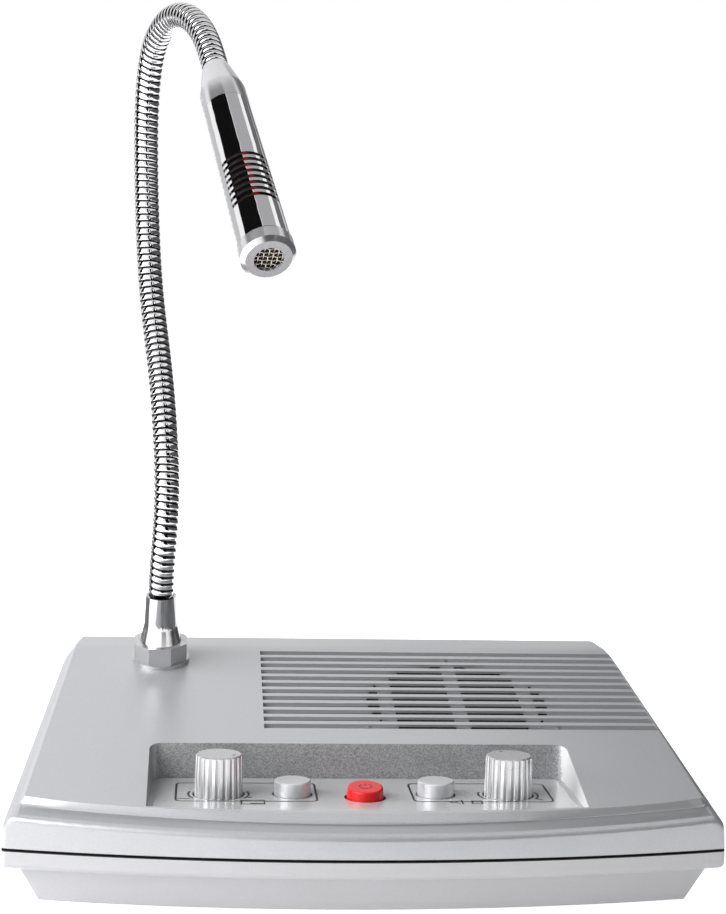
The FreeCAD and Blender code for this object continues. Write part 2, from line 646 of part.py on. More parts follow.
housing_outline(open_top, "tub_side_top + side_wall", "tub_front_top + side_wall",
                "tub_front_top + side_wall")
bottom_cover.pocket(open_top, "band_height", "BandRoom", Reversed=True)
LIP_OUT = "(side_wall + lip_gap)"
LIP_IN = "(%s + lip_wall)" % LIP_OUT
lip = bottom_cover.sketch("Lip", height="%s + floor_wall" % BAND_LOW)
housing_outline(lip, LIP_OUT, LIP_OUT, LIP_OUT)
housing_outline(lip, LIP_IN, LIP_IN, LIP_IN)
bottom_cover.pad(lip, "%s + lip_height - %s - floor_wall" % (TOP, BAND_LOW), "LipPad")
round_corners(bottom_cover, "LipCorner", "room_corner", "room_corner", above=TOP)

for end in ("front", "rear"):
    boss = bottom_cover.sketch("Boss_" + end, height=SEAT)
    pair(boss, "boss_x_" + end, "boss_y_" + end, "boss_radius")
    bottom_cover.pad(boss, "boss_split - " + SEAT, "BossPad_" + end)
    drill = bottom_cover.sketch("BossHole_" + end, height=SEAT)
    pair(drill, "boss_x_" + end, "boss_y_" + end, "screw_radius + screw_clearance")
    bottom_cover.pocket(drill, "boss_split", "BossDrill_" + end, Reversed=True)
    sink = bottom_cover.sketch("Counterbore_" + end, height=SEAT)
    pair(sink, "boss_x_" + end, "boss_y_" + end, "screw_head_radius + counterbore_clearance")
    bottom_cover.pocket(sink, "screw_seat - " + SEAT, "Counterbore_" + end, Reversed=True)
    pad_seat = bottom_cover.sketch("FootSeat_" + end, height=SEAT)
    pair(pad_seat, "foot_x_" + end, "foot_y_" + end, "foot_radius + seat_gap")
    bottom_cover.pocket(pad_seat, "foot_sink", "FootSeat_" + end, Reversed=True)

STAND_X = "(main_board_width / 2 - standoff_inset)"
STAND_Y = "(main_board_length / 2 - standoff_inset)"


def board_corners(drawing, radius, x="main_board_x", y="main_board_y"):
    for side in ("-", "+"):
        for end in ("-", "+"):
            disc(drawing, "%s %s %s" % (x, side, STAND_X), "%s %s %s" % (y, end, STAND_Y), radius)


stands = bottom_cover.sketch("Standoffs", height=FLOOR)
board_corners(stands, "standoff_radius")
bottom_cover.pad(stands, "main_board_z - " + FLOOR, "StandoffPad")
stand_holes = bottom_cover.sketch("StandoffHoles", height=FLOOR)
board_corners(stand_holes, "board_screw_radius + screw_clearance")
bottom_cover.pocket(stand_holes, "main_board_z", "StandoffDrill", Reversed=True)

# ---------------------------------------------------------------- feet, screws and overlay
feet = Piece("rubber_feet")
for end in ("front", "rear"):
    tread = feet.sketch("Tread_" + end)
    pair(tread, "foot_x_" + end, "foot_y_" + end, "foot_radius")
    feet.pad(tread, "foot_height", "FootPad_" + end)


def screws(piece, draw, head_low, head_radius, head_height, radius, length, upward=True):
    """Screws at the discs that draw makes: heads, then shanks on the far side of the seat."""
    heads = piece.sketch("Heads", height=head_low)
    draw(heads, head_radius)
    piece.pad(heads, head_height, "HeadPad")
    seat = "%s + %s" % (head_low, head_height) if upward else head_low
    shanks = piece.sketch("Shanks", height=seat)
    draw(shanks, radius)
    piece.pad(shanks, length, "ShankPad", Reversed=not upward)
    return piece


def cover_screw_places(drawing, radius):
    for end in ("front", "rear"):
        pair(drawing, "boss_x_" + end, "boss_y_" + end, radius)


def control_screw_places(drawing, radius):
    for end in ("front", "back"):
        pair(drawing, "post_x", "%s + post_%s" % (FRONT, end), radius)


screws(Piece("cover_screws"), cover_screw_places, "screw_seat - screw_head_height",
       "screw_head_radius", "screw_head_height", "screw_radius", "screw_length")
screws(Piece("control_board_screws"), control_screw_places,
       "control_board_z - board_screw_head_height", "board_screw_head",
       "board_screw_head_height", "board_screw_radius", "board_screw_length")
screws(Piece("main_board_screws"), board_corners, "main_board_z + board_thick",
       "board_screw_head", "board_screw_head_height", "board_screw_radius",
       "board_screw_length", upward=False)

overlay = Piece("control_overlay")
sheet_shape = overlay.sketch("Sheet", height=TRAY_TOP)
recess_outline(sheet_shape, "-overlay_margin")
control_holes(sheet_shape)
overlay.pad(sheet_shape, "overlay_thick", "OverlayPad")

# ---------------------------------------------------------------- knobs, buttons, switches
BORE = "(shaft_radius + shaft_clearance)"


def d_section(drawing, radius, flat):
    """A round with one flat towards +Y."""
    reach = "sqrt(%s^2 - %s^2)" % (radius, flat)
    outline(drawing, [("(%s)" % reach, flat), ("(-%s)" % reach, flat), ("0", "(-%s)" % radius)],
            {1: radius, 2: radius})


def top_edge(height):
    level = size(height)
    return lambda edge: edge.BoundBox.ZMin > level - 1e-3


for side, sign in (("left", "-"), ("right", "")):
    at = {"x": sign + "knob_x", "y": CONTROLS_Y}
    turn = {"axis": Vector(0, 0, 1), "angle": side + "_knob_angle"}
    knob = Piece("volume_knob_" + side)
    body = knob.sketch("Profile", "XZ_Plane")
    outline(body, [("0", "0"), ("knob_radius", "0"), ("knob_top_radius", "knob_height"),
                   ("0", "knob_height")])
    knob.turn(body)
    knob.dress("Chamfer", "KnobEdge", top_edge("knob_height"), "knob_edge")
    flute = knob.sketch("Flute", height="knob_sink")
    disc(flute, "knob_radius + flute_offset", "0", "flute_radius")
    cut = knob.pocket(flute, "knob_height", "FlutePocket", Reversed=True)
    knob.polar([cut], "knob_flutes", "Flutes")
    bore = knob.sketch("Bore")
    d_section(bore, BORE, "shaft_flat + shaft_clearance")
    knob.pocket(bore, "knob_shaft_bore", "BorePocket", Reversed=True)
    dot = knob.sketch("Pointer", height="knob_height")
    disc(dot, "pointer_offset", "0", "pointer_radius")
    knob.pocket(dot, "pointer_depth", "PointerPocket")
    knob.place(z="recess_floor - knob_sink", **at, **turn)

    shaft = Piece("volume_shaft_" + side)
    section = shaft.sketch("Section")
    d_section(section, "shaft_radius", "shaft_flat")
    shaft.pad(section, "recess_floor - knob_sink + knob_shaft_bore - shaft_top_gap - %s "
                       "- shaft_foot" % BOARD_TOP)
    shaft.place(z=BOARD_TOP + " + shaft_foot", **at, **turn)

    pot = Piece("volume_pot_" + side)
    case = pot.sketch("Case")
    rectangle(case, "-pot_width / 2", "-pot_length / 2", "pot_width / 2", "pot_length / 2")
    pot.pad(case, "pot_height", "CasePad")
    bush = pot.sketch("Bush", height="pot_height")
    disc(bush, "0", "0", "bush_radius")
    pot.pad(bush, "bush_height", "BushPad")
    hole = pot.sketch("ShaftHole", height="shaft_foot - shaft_clearance")
    disc(hole, "0", "0", BORE)
    pot.pocket(hole, "pot_height + bush_height", "ShaftPocket", Reversed=True)
    pot.place(z=BOARD_TOP, **at)

FLANGE_LOW = "(%s - seat_gap - button_flange)" % TRAY_UNDER
FLANGE_TOP = "(%s - seat_gap)" % TRAY_UNDER


def press_button(label, switch_label, x, y, radius, height, switch_side, travel, draft=None):
    """A cap with its retaining flange, the plunger it sits on and the switch below."""
    cap = Piece(label)
    flange = cap.sketch("Flange")
    disc(flange, "0", "0", "%s + button_hole_gap + button_flange" % radius)
    cap.pad(flange, "button_flange", "FlangePad")
    crown = cap.sketch("Crown", height="button_flange")
    disc(crown, "0", "0", radius)
    cap.pad(crown, "recess_floor - %s + %s" % (FLANGE_TOP, height), "CrownPad", taper=draft)
    socket = cap.sketch("Socket")
    half = "(plunger_side / 2 + plunger_gap)"
    rectangle(socket, "-" + half, "-" + half, half, half)
    cap.pocket(socket, "plunger_top + seat_gap", "SocketPocket", Reversed=True)
    cap.place(x, y, FLANGE_LOW)

    stem = Piece(label.replace("button", "plunger"))
    stem_plan = stem.sketch("Plan")
    rectangle(stem_plan, "-plunger_side / 2", "-plunger_side / 2",
              "plunger_side / 2", "plunger_side / 2")
    stem_low = "(%s + switch_height - plunger_sink)" % BOARD_TOP
    stem.pad(stem_plan, "%s + plunger_top - %s" % (FLANGE_LOW, stem_low), "StemPad")
    stem.place(x, y, stem_low)

    switch = Piece(switch_label)
    case = switch.sketch("Case")
    rectangle(case, "-%s / 2" % switch_side, "-%s / 2" % switch_side,
              "%s / 2" % switch_side, "%s / 2" % switch_side)
    switch.pad(case, "switch_height", "CasePad")
    well = switch.sketch("Well", height="switch_height")
    rectangle(well, "-" + half, "-" + half, half, half)
    switch.pocket(well, "plunger_sink + %s + plunger_gap" % travel, "WellPocket")
    switch.place(x, y, BOARD_TOP)
    return cap


for side, sign in (("left", "-"), ("right", "")):
    silver = press_button("talk_button_" + side, "talk_switch_" + side, sign + "button_x",
                          CONTROLS_Y, "button_radius", "button_height", "switch_side",
                          "button_travel")
    silver.dress("Chamfer", "CrownEdge", top_edge(
        "recess_floor + button_height - " + FLANGE_LOW), "button_edge")

power = press_button("power_button", "power_switch", "0", POWER_Y, "power_radius",
                     "power_front + 2 * power_radius", "power_switch_side", "power_travel",
                     draft="-power_draft")
slant = power.sketch("Slant", "YZ_Plane")
crown_low = "(recess_floor - %s + power_front)" % FLANGE_LOW
reach = "(2 * power_radius)"
tilt = "tan(power_tilt * 1deg)"
outline(slant, [("-" + reach, "%s - power_radius * %s" % (crown_low, tilt)),
                (reach, "%s + 3 * power_radius * %s" % (crown_low, tilt)),
                (reach, "%s + 2 * %s" % (crown_low, reach)),
                ("-" + reach, "%s + 2 * %s" % (crown_low, reach))])
power.pocket(slant, "2 * " + reach, "SlantPocket", Midplane=True)
crown_level = size("%s - power_edge" % crown_low)
power.dress("Fillet", "CrownEdge", lambda edge: edge.BoundBox.ZMin > crown_level, "power_edge")

control_board = Piece("control_board")
board_plan = control_board.sketch("Plan", height="control_board_z")
rectangle(board_plan, "-control_board_width / 2", FRONT + " + control_board_front",
          "control_board_width / 2", FRONT + " + control_board_front + control_board_length")
control_screw_places(board_plan, "board_screw_radius + screw_clearance")
control_board.pad(board_plan, "board_thick", "BoardPad")

# ---------------------------------------------------------------- loudspeaker
SPEAKER = {"x": "grille_x", "y": slope_y("grille_centre"), "z": slope_z("grille_centre"),
           "axis": Vector(1, 0, 0), "angle": "top_slope"}
RING_TOP = "(-%s + flange_thick)" % FLANGE_FACE
RING_LOW = "(-%s)" % FLANGE_FACE
PLATE_LOW = "(%s - basket_depth)" % RING_LOW
PLATE_TOP = "(%s + basket_wall)" % PLATE_LOW
COIL_HOLE = "(cone_neck + basket_wall)"


def ring(label, inner, outer, low, high, place):
    return turned(label, [(inner, low), (outer, low), (outer, high), (inner, high)], **place)


turned("grille_cloth", step_profile(("cloth_radius", "-(%s + cloth_thick)" % LUG_DEPTH,
                                     "-" + LUG_DEPTH)), **SPEAKER)
ring("speaker_gasket", "gasket_inner", "speaker_radius", RING_TOP,
     RING_TOP + " + gasket_thick", SPEAKER)
basket = turned("speaker_frame", [
    ("gasket_inner", RING_TOP), ("speaker_radius", RING_TOP), ("speaker_radius", RING_LOW),
    ("gasket_inner + basket_wall", RING_LOW), ("basket_neck", PLATE_LOW),
    (COIL_HOLE, PLATE_LOW), (COIL_HOLE, PLATE_TOP),
    ("basket_neck - basket_wall", PLATE_TOP), ("gasket_inner", RING_LOW)], **SPEAKER)
window = basket.sketch("Window", height=RING_LOW + " - basket_wall")
rectangle(window, "basket_neck + basket_wall", "-window_width / 2", "speaker_radius",
          "window_width / 2")
opened = basket.pocket(window, "basket_depth - 3 * basket_wall", "WindowPocket")
basket.polar([opened], "window_count", "Windows")
CONE_LOW = "(%s - cone_depth)" % RING_TOP
turned("speaker_cone", [
    ("gasket_inner - seat_gap", RING_TOP), ("cone_edge", RING_TOP), ("cone_neck", CONE_LOW),
    ("cone_neck", CONE_LOW + " - cone_wall"), ("cone_edge", RING_TOP + " - cone_wall"),
    ("gasket_inner - seat_gap", RING_TOP + " - cone_wall")], **SPEAKER)
turned("dust_cap", [("0", CONE_LOW + " + seat_gap"), ("cone_neck", CONE_LOW + " + seat_gap"),
                    ("0", CONE_LOW + " + seat_gap + dust_cap_height")],
       radii={1: "((cone_neck^2 + dust_cap_height^2) / (2 * dust_cap_height))"}, **SPEAKER)
ring("voice_coil", "cone_neck - coil_wall", "cone_neck", PLATE_LOW + " - coil_wall",
     CONE_LOW + " - cone_wall", SPEAKER)
MAGNET_LOW = "(%s - magnet_height)" % PLATE_LOW
ring("speaker_magnet", COIL_HOLE, "magnet_radius", MAGNET_LOW, PLATE_LOW, SPEAKER)
turned("speaker_yoke", step_profile(
    ("yoke_radius", MAGNET_LOW + " - yoke_height", MAGNET_LOW),
    ("cone_neck - 2 * coil_wall", MAGNET_LOW, PLATE_LOW)), **SPEAKER)

SLOPE_FRAME = {"y": FRONT, "z": "front_top", "axis": Vector(1, 0, 0), "angle": "top_slope"}
clamps = Piece("speaker_clamps")
washers = clamps.sketch("Washers", height="-%s - clamp_thick" % FLANGE_FACE)
around_speaker(washers, "clamp_radius")
around_speaker(washers, "board_screw_radius + screw_clearance")
clamps.pad(washers, "clamp_thick", "ClampPad")
clamps.place(**SLOPE_FRAME)
speaker_screws = screws(
    Piece("speaker_screws"), around_speaker,
    "-%s - clamp_thick - board_screw_head_height" % FLANGE_FACE, "board_screw_head",
    "board_screw_head_height", "board_screw_radius", "board_screw_length - seat_gap")
speaker_screws.place(**SLOPE_FRAME)

# ---------------------------------------------------------------- gooseneck mounting
NECK = {"x": "neck_x", "y": slope_y("neck_up"), "z": slope_z("neck_up"),
        "axis": Vector(1, 0, 0), "angle": "top_slope"}
NUT_TOP = "(flange_height + nut_height)"
JOINT_UP = "(%s + flare_height + sleeve_height)" % NUT_TOP
SLEEVE_TOP = "(%s - socket_drop)" % JOINT_UP
CUP = "(neck_radius + socket_gap)"
STEM_HOLE = "(stem_radius + shaft_clearance)"

ring("neck_flange", STEM_HOLE, "flange_radius", "0", "flange_height", NECK)


def nut(label, flat_radius, low, height):
    made = Piece(label)
    plan = made.sketch("Plan", height=low)
    regular_polygon(plan, flat_radius, "nut_sides")
    disc(plan, "0", "0", STEM_HOLE)
    made.pad(plan, height, "NutPad")
    return made.place(**NECK)


nut("neck_nut", "nut_flat_radius", "flange_height", "nut_height")
nut("neck_locknut", "locknut_radius", "-%s - locknut_height" % LUG_DEPTH, "locknut_height")
CUP_EDGE = "sqrt(%s^2 - socket_drop^2)" % CUP
CUP_FOOT = "(%s - sqrt(%s^2 - neck_bore^2))" % (JOINT_UP, CUP)
turned("neck_socket", [
    ("neck_bore", "(-stem_length)"), ("stem_radius", "(-stem_length)"),
    ("stem_radius", NUT_TOP), ("flare_radius", NUT_TOP),
    ("sleeve_foot", NUT_TOP + " + flare_height"), ("sleeve_radius", SLEEVE_TOP),
    (CUP_EDGE, SLEEVE_TOP), ("neck_bore", CUP_FOOT)], radii={6: CUP}, hollow=(6,), **NECK)

# ---------------------------------------------------------------- gooseneck
# Places that the bent neck passes through, counted from its first joint.
NECK_PATH = [(0, 0, 0), (0.7, -3.3, 14.2), (1.3, -2.8, 31.5), (0.3, 2.7, 49.4),
             (-1.7, 12.2, 67.4), (-4.8, 22.6, 88.9), (-6.8, 29.6, 112.6), (-7.7, 32.5, 136.3),
             (-7.3, 29.3, 155.4), (-5.1, 22.0, 167.9), (2.8, 3.7, 174.3), (9.9, -11.5, 167.0),
             (13.8, -23.8, 155.1)]

slope_turn = Rotation(Vector(1, 0, 0), size("top_slope"))
neck_root = Vector(size("neck_x"), size(slope_y("neck_up")), size(slope_z("neck_up")))
first_joint = neck_root + slope_turn.multVec(Vector(0, 0, size(JOINT_UP)))
mic_turn = Rotation(Vector(0, 0, 1), size("mic_turn")) * Rotation(
    Vector(1, 0, 0), 90 + size("mic_dip"))
mic_direction = mic_turn.multVec(Vector(0, 0, 1))
neck_curve = Part.BSplineCurve()
neck_curve.interpolate(Points=[first_joint + Vector(*place) for place in NECK_PATH],
                       InitialTangent=slope_turn.multVec(Vector(0, 0, 1)),
                       FinalTangent=mic_direction)
LINKS = int(size("neck_links"))
spacing = neck_curve.length() / LINKS
stations = [neck_curve.parameterAtDistance(spacing * i, neck_curve.FirstParameter)
            for i in range(LINKS + 1)]


def pipe(curve, first, last, radius):
    """A round bar along part of a curve."""
    path = Part.Wire([curve.toShape(first, last)])
    ring_edge = Part.makeCircle(radius, curve.value(first), curve.tangent(first)[0])
    return path.makePipeShell([Part.Wire([ring_edge])], True, False)


def coded(label, shape, origin):
    """A piece whose shape is built here, kept about its own origin."""
    made = doc.addObject("Part::Feature", label.title().replace("_", ""))
    made.Label = label
    made.Shape = shape.transformed(Placement(-origin, Rotation()).toMatrix(), copy=True)
    made.Placement = Placement(origin, Rotation())
    pieces.append(made)


neck_joints = []
for i in range(LINKS):
    low, high = stations[i], stations[i + 1]
    start, end = neck_curve.value(low), neck_curve.value(high)
    tangent = neck_curve.tangent(low)[0]
    link = pipe(neck_curve, low, high, size("neck_radius"))
    link = link.fuse(Part.makeSphere(size("neck_ball"), start))
    link = link.cut(Part.makeSphere(size(CUP), end))
    link = link.cut(pipe(neck_curve, low, high, size("neck_bore")))
    link = link.cut(Part.makeCylinder(size("neck_bore"), size("neck_ball"), start, -tangent))
    coded("neck_link_%d" % (i + 1), link, start)
    neck_joints.append((start, tangent))
mic_joint = neck_curve.value(stations[-1])

# ---------------------------------------------------------------- microphone
BODY_END = "(mic_length - cap_length)"


def on_microphone(piece):
    """Hang a body of the microphone on the neck's last joint."""
    piece.body.Placement = Placement(mic_joint, mic_turn)
    return piece


def mic_turned(label, profile, radii=None):
    return on_microphone(turned_free(label, profile, radii))


def turned_free(label, profile, radii=None):
    piece = Piece(label)
    drawing = piece.sketch("Profile", "XZ_Plane")
    outline(drawing, profile, radii)
    piece.turn(drawing)
    return piece


BALL_FOOT = "(-sqrt(neck_ball^2 - neck_bore^2))"
mic_turned("mic_adapter", [
    ("neck_bore", BALL_FOOT), ("neck_ball", "0"), ("neck_radius", "0"),
    ("adapter_neck", "adapter_flare"), ("mic_radius_back", "adapter_shoulder"),
    ("mic_radius_back", "adapter_length"), ("mic_radius_back - mic_wall", "adapter_length"),
    ("neck_bore", "adapter_flare")], radii={0: "neck_ball"})

INNER_BACK = "(mic_radius_back - mic_wall)"
INNER_FRONT = "(mic_radius_front - mic_wall)"
SPIGOT = "(%s - seat_gap)" % INNER_FRONT
mic_body = mic_turned("mic_body", [
    (INNER_BACK, "adapter_length + seat_gap"), ("mic_radius_back", "adapter_length + seat_gap"),
    ("mic_radius_front", BODY_END), (INNER_FRONT, BODY_END)])
slot = mic_body.sketch("Slot", "XZ_Plane",
                       height="-mic_radius_back * cos(slot_angle / 2 * 1deg)")
rectangle(slot, "-2 * mic_radius_front", "slot_first", "2 * mic_radius_front",
          "slot_first + slot_width")
slotted = mic_body.pocket(slot, "2 * mic_radius_front", "SlotPocket")
mic_body.linear([slotted], slot, "slot_pitch", "slot_rows", "Slots")

mic_cap = mic_turned("mic_end_cap", [
    ("mesh_radius", "mic_length - mesh_sink"), ("mesh_radius", "mic_length"),
    ("cap_radius - cap_edge", "mic_length"), ("cap_radius", "mic_length - cap_edge"),
    ("cap_radius", BODY_END + " + seam_groove"), (SPIGOT, BODY_END + " + seam_groove"),
    (SPIGOT, BODY_END + " - cap_length / 2"),
    ("capsule_radius + capsule_gap", BODY_END + " - cap_length / 2"),
    ("capsule_radius + capsule_gap", "mic_length - mesh_sink")])
MESH_LOW = "(mic_length - mesh_sink - mesh_thick)"
mic_turned("mic_mesh", step_profile(("capsule_radius", MESH_LOW, "mic_length - mesh_sink")))
mic_turned("mic_capsule", step_profile(
    ("capsule_radius", MESH_LOW + " - capsule_gap - capsule_length", MESH_LOW + " - capsule_gap")))
mic_turned("mic_lamp", [
    ("lamp_radius - lamp_wall", "lamp_start"), ("lamp_radius", "lamp_start"),
    ("lamp_radius", "lamp_start + lamp_length"),
    ("lamp_radius - lamp_wall", "lamp_start + lamp_length")])

# ---------------------------------------------------------------- main board
BOARD_UP = "(main_board_z + board_thick)"
main_board = Piece("main_board")
main_plan = main_board.sketch("Plan", height="main_board_z")
rectangle(main_plan, "main_board_x - main_board_width / 2", "main_board_y - main_board_length / 2",
          "main_board_x + main_board_width / 2", "main_board_y + main_board_length / 2")
board_corners(main_plan, "board_screw_radius + screw_clearance")
main_board.pad(main_plan, "board_thick", "BoardPad")

chip = Piece("amplifier_chip")
chip_plan = chip.sketch("Plan")
rectangle(chip_plan, "-chip_width / 2", "-chip_length / 2", "chip_width / 2", "chip_length / 2")
chip.pad(chip_plan, "chip_height", "ChipPad")
chip.place("chip_x", "chip_y", BOARD_UP)

sink = Piece("heatsink")
sink_plan = sink.sketch("Base")
rectangle(sink_plan, "-heatsink_width / 2", "-heatsink_length / 2",
          "heatsink_width / 2", "heatsink_length / 2")
sink.pad(sink_plan, "heatsink_base", "BasePad")
FIN_PITCH = "((heatsink_width - fin_thick) / (fin_count - 1))"
fin = sink.sketch("Fin", height="heatsink_base")
rectangle(fin, "-heatsink_width / 2", "-heatsink_length / 2",
          "fin_thick - heatsink_width / 2", "heatsink_length / 2")
fin_pad = sink.pad(fin, "heatsink_height - heatsink_base", "FinPad")
sink.linear([fin_pad], fin, FIN_PITCH, "fin_count", "Fins", axis="H_Axis")
sink.place("chip_x", "chip_y", BOARD_UP + " + chip_height")

capacitors = Piece("capacitors")
cans = capacitors.sketch("Cans", height=BOARD_UP)
for i in range(int(size("capacitor_count"))):
    disc(cans, "capacitor_x + %d * capacitor_pitch" % i, "capacitor_y", "capacitor_radius")
capacitors.pad(cans, "capacitor_height", "CanPad")

plugs = Piece("board_connectors")
shells = plugs.sketch("Shells", height=BOARD_UP)
PLUG_X = ["(plug_x + %d * plug_pitch)" % i for i in range(int(size("plug_count")))]
for plug_place in PLUG_X:
    rectangle(shells, plug_place + " - connector_width / 2", "plug_y - connector_length / 2",
              plug_place + " + connector_width / 2", "plug_y + connector_length / 2")
plugs.pad(shells, "connector_height", "ShellPad")

# ---------------------------------------------------------------- sockets in the rear wall
WALL_OUT = "(%s + %s - %s)" % (REAR, NOSE_OUT, NOSE)
WALL = "(side_wall + %s * (dc_body + dc_nut + 2 * joint_gap))" % LEAN
REARWARD = {"y": WALL_OUT, "z": "jack_height", "axis": Vector(1, 0, 0), "angle": "-90"}
for label, jack_place in JACKS.items():
    turned(label, [("0", "(-jack_depth)"), ("jack_body", "(-jack_depth)"),
                   ("jack_body", "(-%s)" % WALL), ("jack_bush", "(-%s)" % WALL),
                   ("jack_bush", NOSE), ("jack_bore", NOSE),
                   ("jack_bore", NOSE + " - jack_bore_depth"),
                   ("0", NOSE + " - jack_bore_depth")], x=jack_place, **REARWARD)
turned("dc_jack", [("0", "(-dc_depth)"), ("dc_body", "(-dc_depth)"),
                   ("dc_body", "(-%s)" % WALL), ("dc_bush", "(-%s)" % WALL),
                   ("dc_bush", NOSE), ("dc_bore", NOSE),
                   ("dc_bore", NOSE + " - dc_recess"), ("dc_pin", NOSE + " - dc_recess"),
                   ("dc_pin", NOSE + " - dc_pin_setback"), ("0", NOSE + " - dc_pin_setback")],
       x="dc_x", **REARWARD)
nuts = Piece("socket_nuts")
nut_plan = nuts.sketch("Plan", "XZ_Plane", height="-" + WALL_OUT)
for jack_place in JACKS.values():
    disc(nut_plan, jack_place, "jack_height", "jack_nut")
    disc(nut_plan, jack_place, "jack_height", "jack_bush + seat_gap")
disc(nut_plan, "dc_x", "jack_height", "dc_nut")
disc(nut_plan, "dc_x", "jack_height", "dc_bush + seat_gap")
nuts.pad(nut_plan, "jack_nut_height", "NutPad", Reversed=True)

# ---------------------------------------------------------------- wiring inside
PLUG_TOP = "(%s + connector_height)" % BOARD_UP
RIBBON_Z = "(control_board_z - ribbon_drop - ribbon_thick)"
RIBBON_Y = "(%s + control_board_front + control_board_length - ribbon_edge)" % FRONT
ribbon = Piece("ribbon_cable")
band = ribbon.sketch("Band", "YZ_Plane", height=PLUG_X[1])
outline(band, [(RIBBON_Y, RIBBON_Z), ("plug_y - connector_length / 2", RIBBON_Z),
               ("plug_y - connector_length / 2", RIBBON_Z + " + ribbon_thick"),
               (RIBBON_Y + " + ribbon_thick", RIBBON_Z + " + ribbon_thick"),
               (RIBBON_Y + " + ribbon_thick", "control_board_z"), (RIBBON_Y, "control_board_z")])
ribbon.pad(band, "ribbon_width", "BandPad", Midplane=True)


def lead(places, leaving, arriving):
    """One insulated wire through the given places."""
    curve = Part.BSplineCurve()
    curve.interpolate(Points=places, InitialTangent=leaving, FinalTangent=arriving)
    return pipe(curve, curve.FirstParameter, curve.LastParameter, size("lead_radius"))


def plug_pin(i, step):
    return Vector(size(PLUG_X[i]) + step, size("plug_y"), size(PLUG_TOP))


def speaker_point(x, y, z):
    place = Placement(Vector(size("grille_x"), size(SPEAKER["y"]), size(SPEAKER["z"])), slope_turn)
    return place.multVec(Vector(x, y, z))


up = Vector(0, 0, 1)
slope_up = slope_turn.multVec(up)
half_pitch = size("lead_pitch") / 2
terminal_x = -(size("gasket_inner") + size("speaker_radius") + size("basket_wall")) / 2
wires = [lead([plug_pin(2, side * half_pitch),
               speaker_point(terminal_x, side * half_pitch, size(RING_LOW))], up, slope_up)
         for side in (-1, 1)]
stem_end = neck_root + slope_turn.multVec(Vector(0, 0, -size("stem_length")))
last_pin = plug_pin(0, 0)
wires.append(lead([stem_end, (stem_end + last_pin) / 2 - up * size("connector_height") / 2,
                   last_pin], -slope_up, -up))
coded("internal_leads", Part.makeCompound(wires), Vector())

# ---------------------------------------------------------------- checks and files
doc.recompute()
for made in doc.Objects:
    for word in ("Invalid", "Error"):
        if word in made.State:
            raise RuntimeError("%s: %s" % (made.Label, made.State))
for made in pieces:
    if made.Shape.isNull() or not made.Shape.isValid():
        raise RuntimeError("bad shape: " + made.Label)
os.makedirs("parts", exist_ok=True)
for made in pieces:
    made.Shape.exportStep("parts/%s.step" % made.Label)
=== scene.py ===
import json
import math

import bmesh
import bpy
import numpy as np
from mathutils import Matrix, Vector


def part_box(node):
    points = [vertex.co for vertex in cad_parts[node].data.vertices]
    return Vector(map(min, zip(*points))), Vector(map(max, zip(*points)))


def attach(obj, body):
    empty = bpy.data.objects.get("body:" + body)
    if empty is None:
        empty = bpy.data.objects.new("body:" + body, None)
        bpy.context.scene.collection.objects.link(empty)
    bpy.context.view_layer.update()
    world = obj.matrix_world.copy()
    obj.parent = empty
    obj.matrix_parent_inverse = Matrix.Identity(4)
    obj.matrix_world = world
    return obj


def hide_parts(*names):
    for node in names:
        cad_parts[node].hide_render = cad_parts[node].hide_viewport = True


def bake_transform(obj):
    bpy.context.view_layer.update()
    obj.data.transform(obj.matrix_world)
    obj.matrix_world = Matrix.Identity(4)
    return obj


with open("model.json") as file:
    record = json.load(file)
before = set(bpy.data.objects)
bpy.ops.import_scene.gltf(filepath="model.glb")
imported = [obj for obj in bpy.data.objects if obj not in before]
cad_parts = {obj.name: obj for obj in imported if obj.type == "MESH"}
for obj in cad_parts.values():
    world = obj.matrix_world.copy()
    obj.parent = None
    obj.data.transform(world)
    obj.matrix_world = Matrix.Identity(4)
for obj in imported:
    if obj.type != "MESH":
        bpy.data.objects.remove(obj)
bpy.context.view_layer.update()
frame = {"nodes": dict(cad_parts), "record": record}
BODY_OF = {node: body for body, nodes in frame["record"]["behaviour"]["bodies"].items()
           for node in nodes}
JOINTS = {joint["name"]: joint for joint in frame["record"]["behaviour"]["joints"]}
MM = 0.001

# ---------------------------------------------------------------- studio
# The console stands on a white table in a white room. Soft lamps are to its left and a weaker
# one to its right, and shiny surfaces mirror the cards that stand and lie round it.
scene = bpy.context.scene
scene.view_settings.view_transform = "Standard"

CAMERA_PLACE = Vector((-44.44, -548.46, 157.45)) * MM
CAMERA_YAW = math.radians(-4.721)
CAMERA_PITCH = math.radians(-4.257)
CAMERA_ROLL = math.radians(1.359)
FRAME_HEIGHT = 36.0
LENS = 74.84

camera_data = bpy.data.cameras.new("camera")
camera_data.sensor_fit = "VERTICAL"
camera_data.sensor_height = FRAME_HEIGHT
camera_data.lens = LENS
camera = bpy.data.objects.new("camera", camera_data)
camera.matrix_world = (Matrix.Translation(CAMERA_PLACE)
                       @ Matrix.Rotation(CAMERA_YAW, 4, "Z")
                       @ Matrix.Rotation(math.pi / 2 + CAMERA_PITCH, 4, "X")
                       @ Matrix.Rotation(CAMERA_ROLL, 4, "Z"))
scene.collection.objects.link(camera)
scene.camera = camera


def new_tree(owner):
    """The emptied node tree of a material or world, and its output node."""
    owner.use_nodes = True
    tree = owner.node_tree
    tree.nodes.clear()
    kind = "ShaderNodeOutputWorld" if isinstance(owner, bpy.types.World) else "ShaderNodeOutputMaterial"
    return tree, tree.nodes.new(kind)


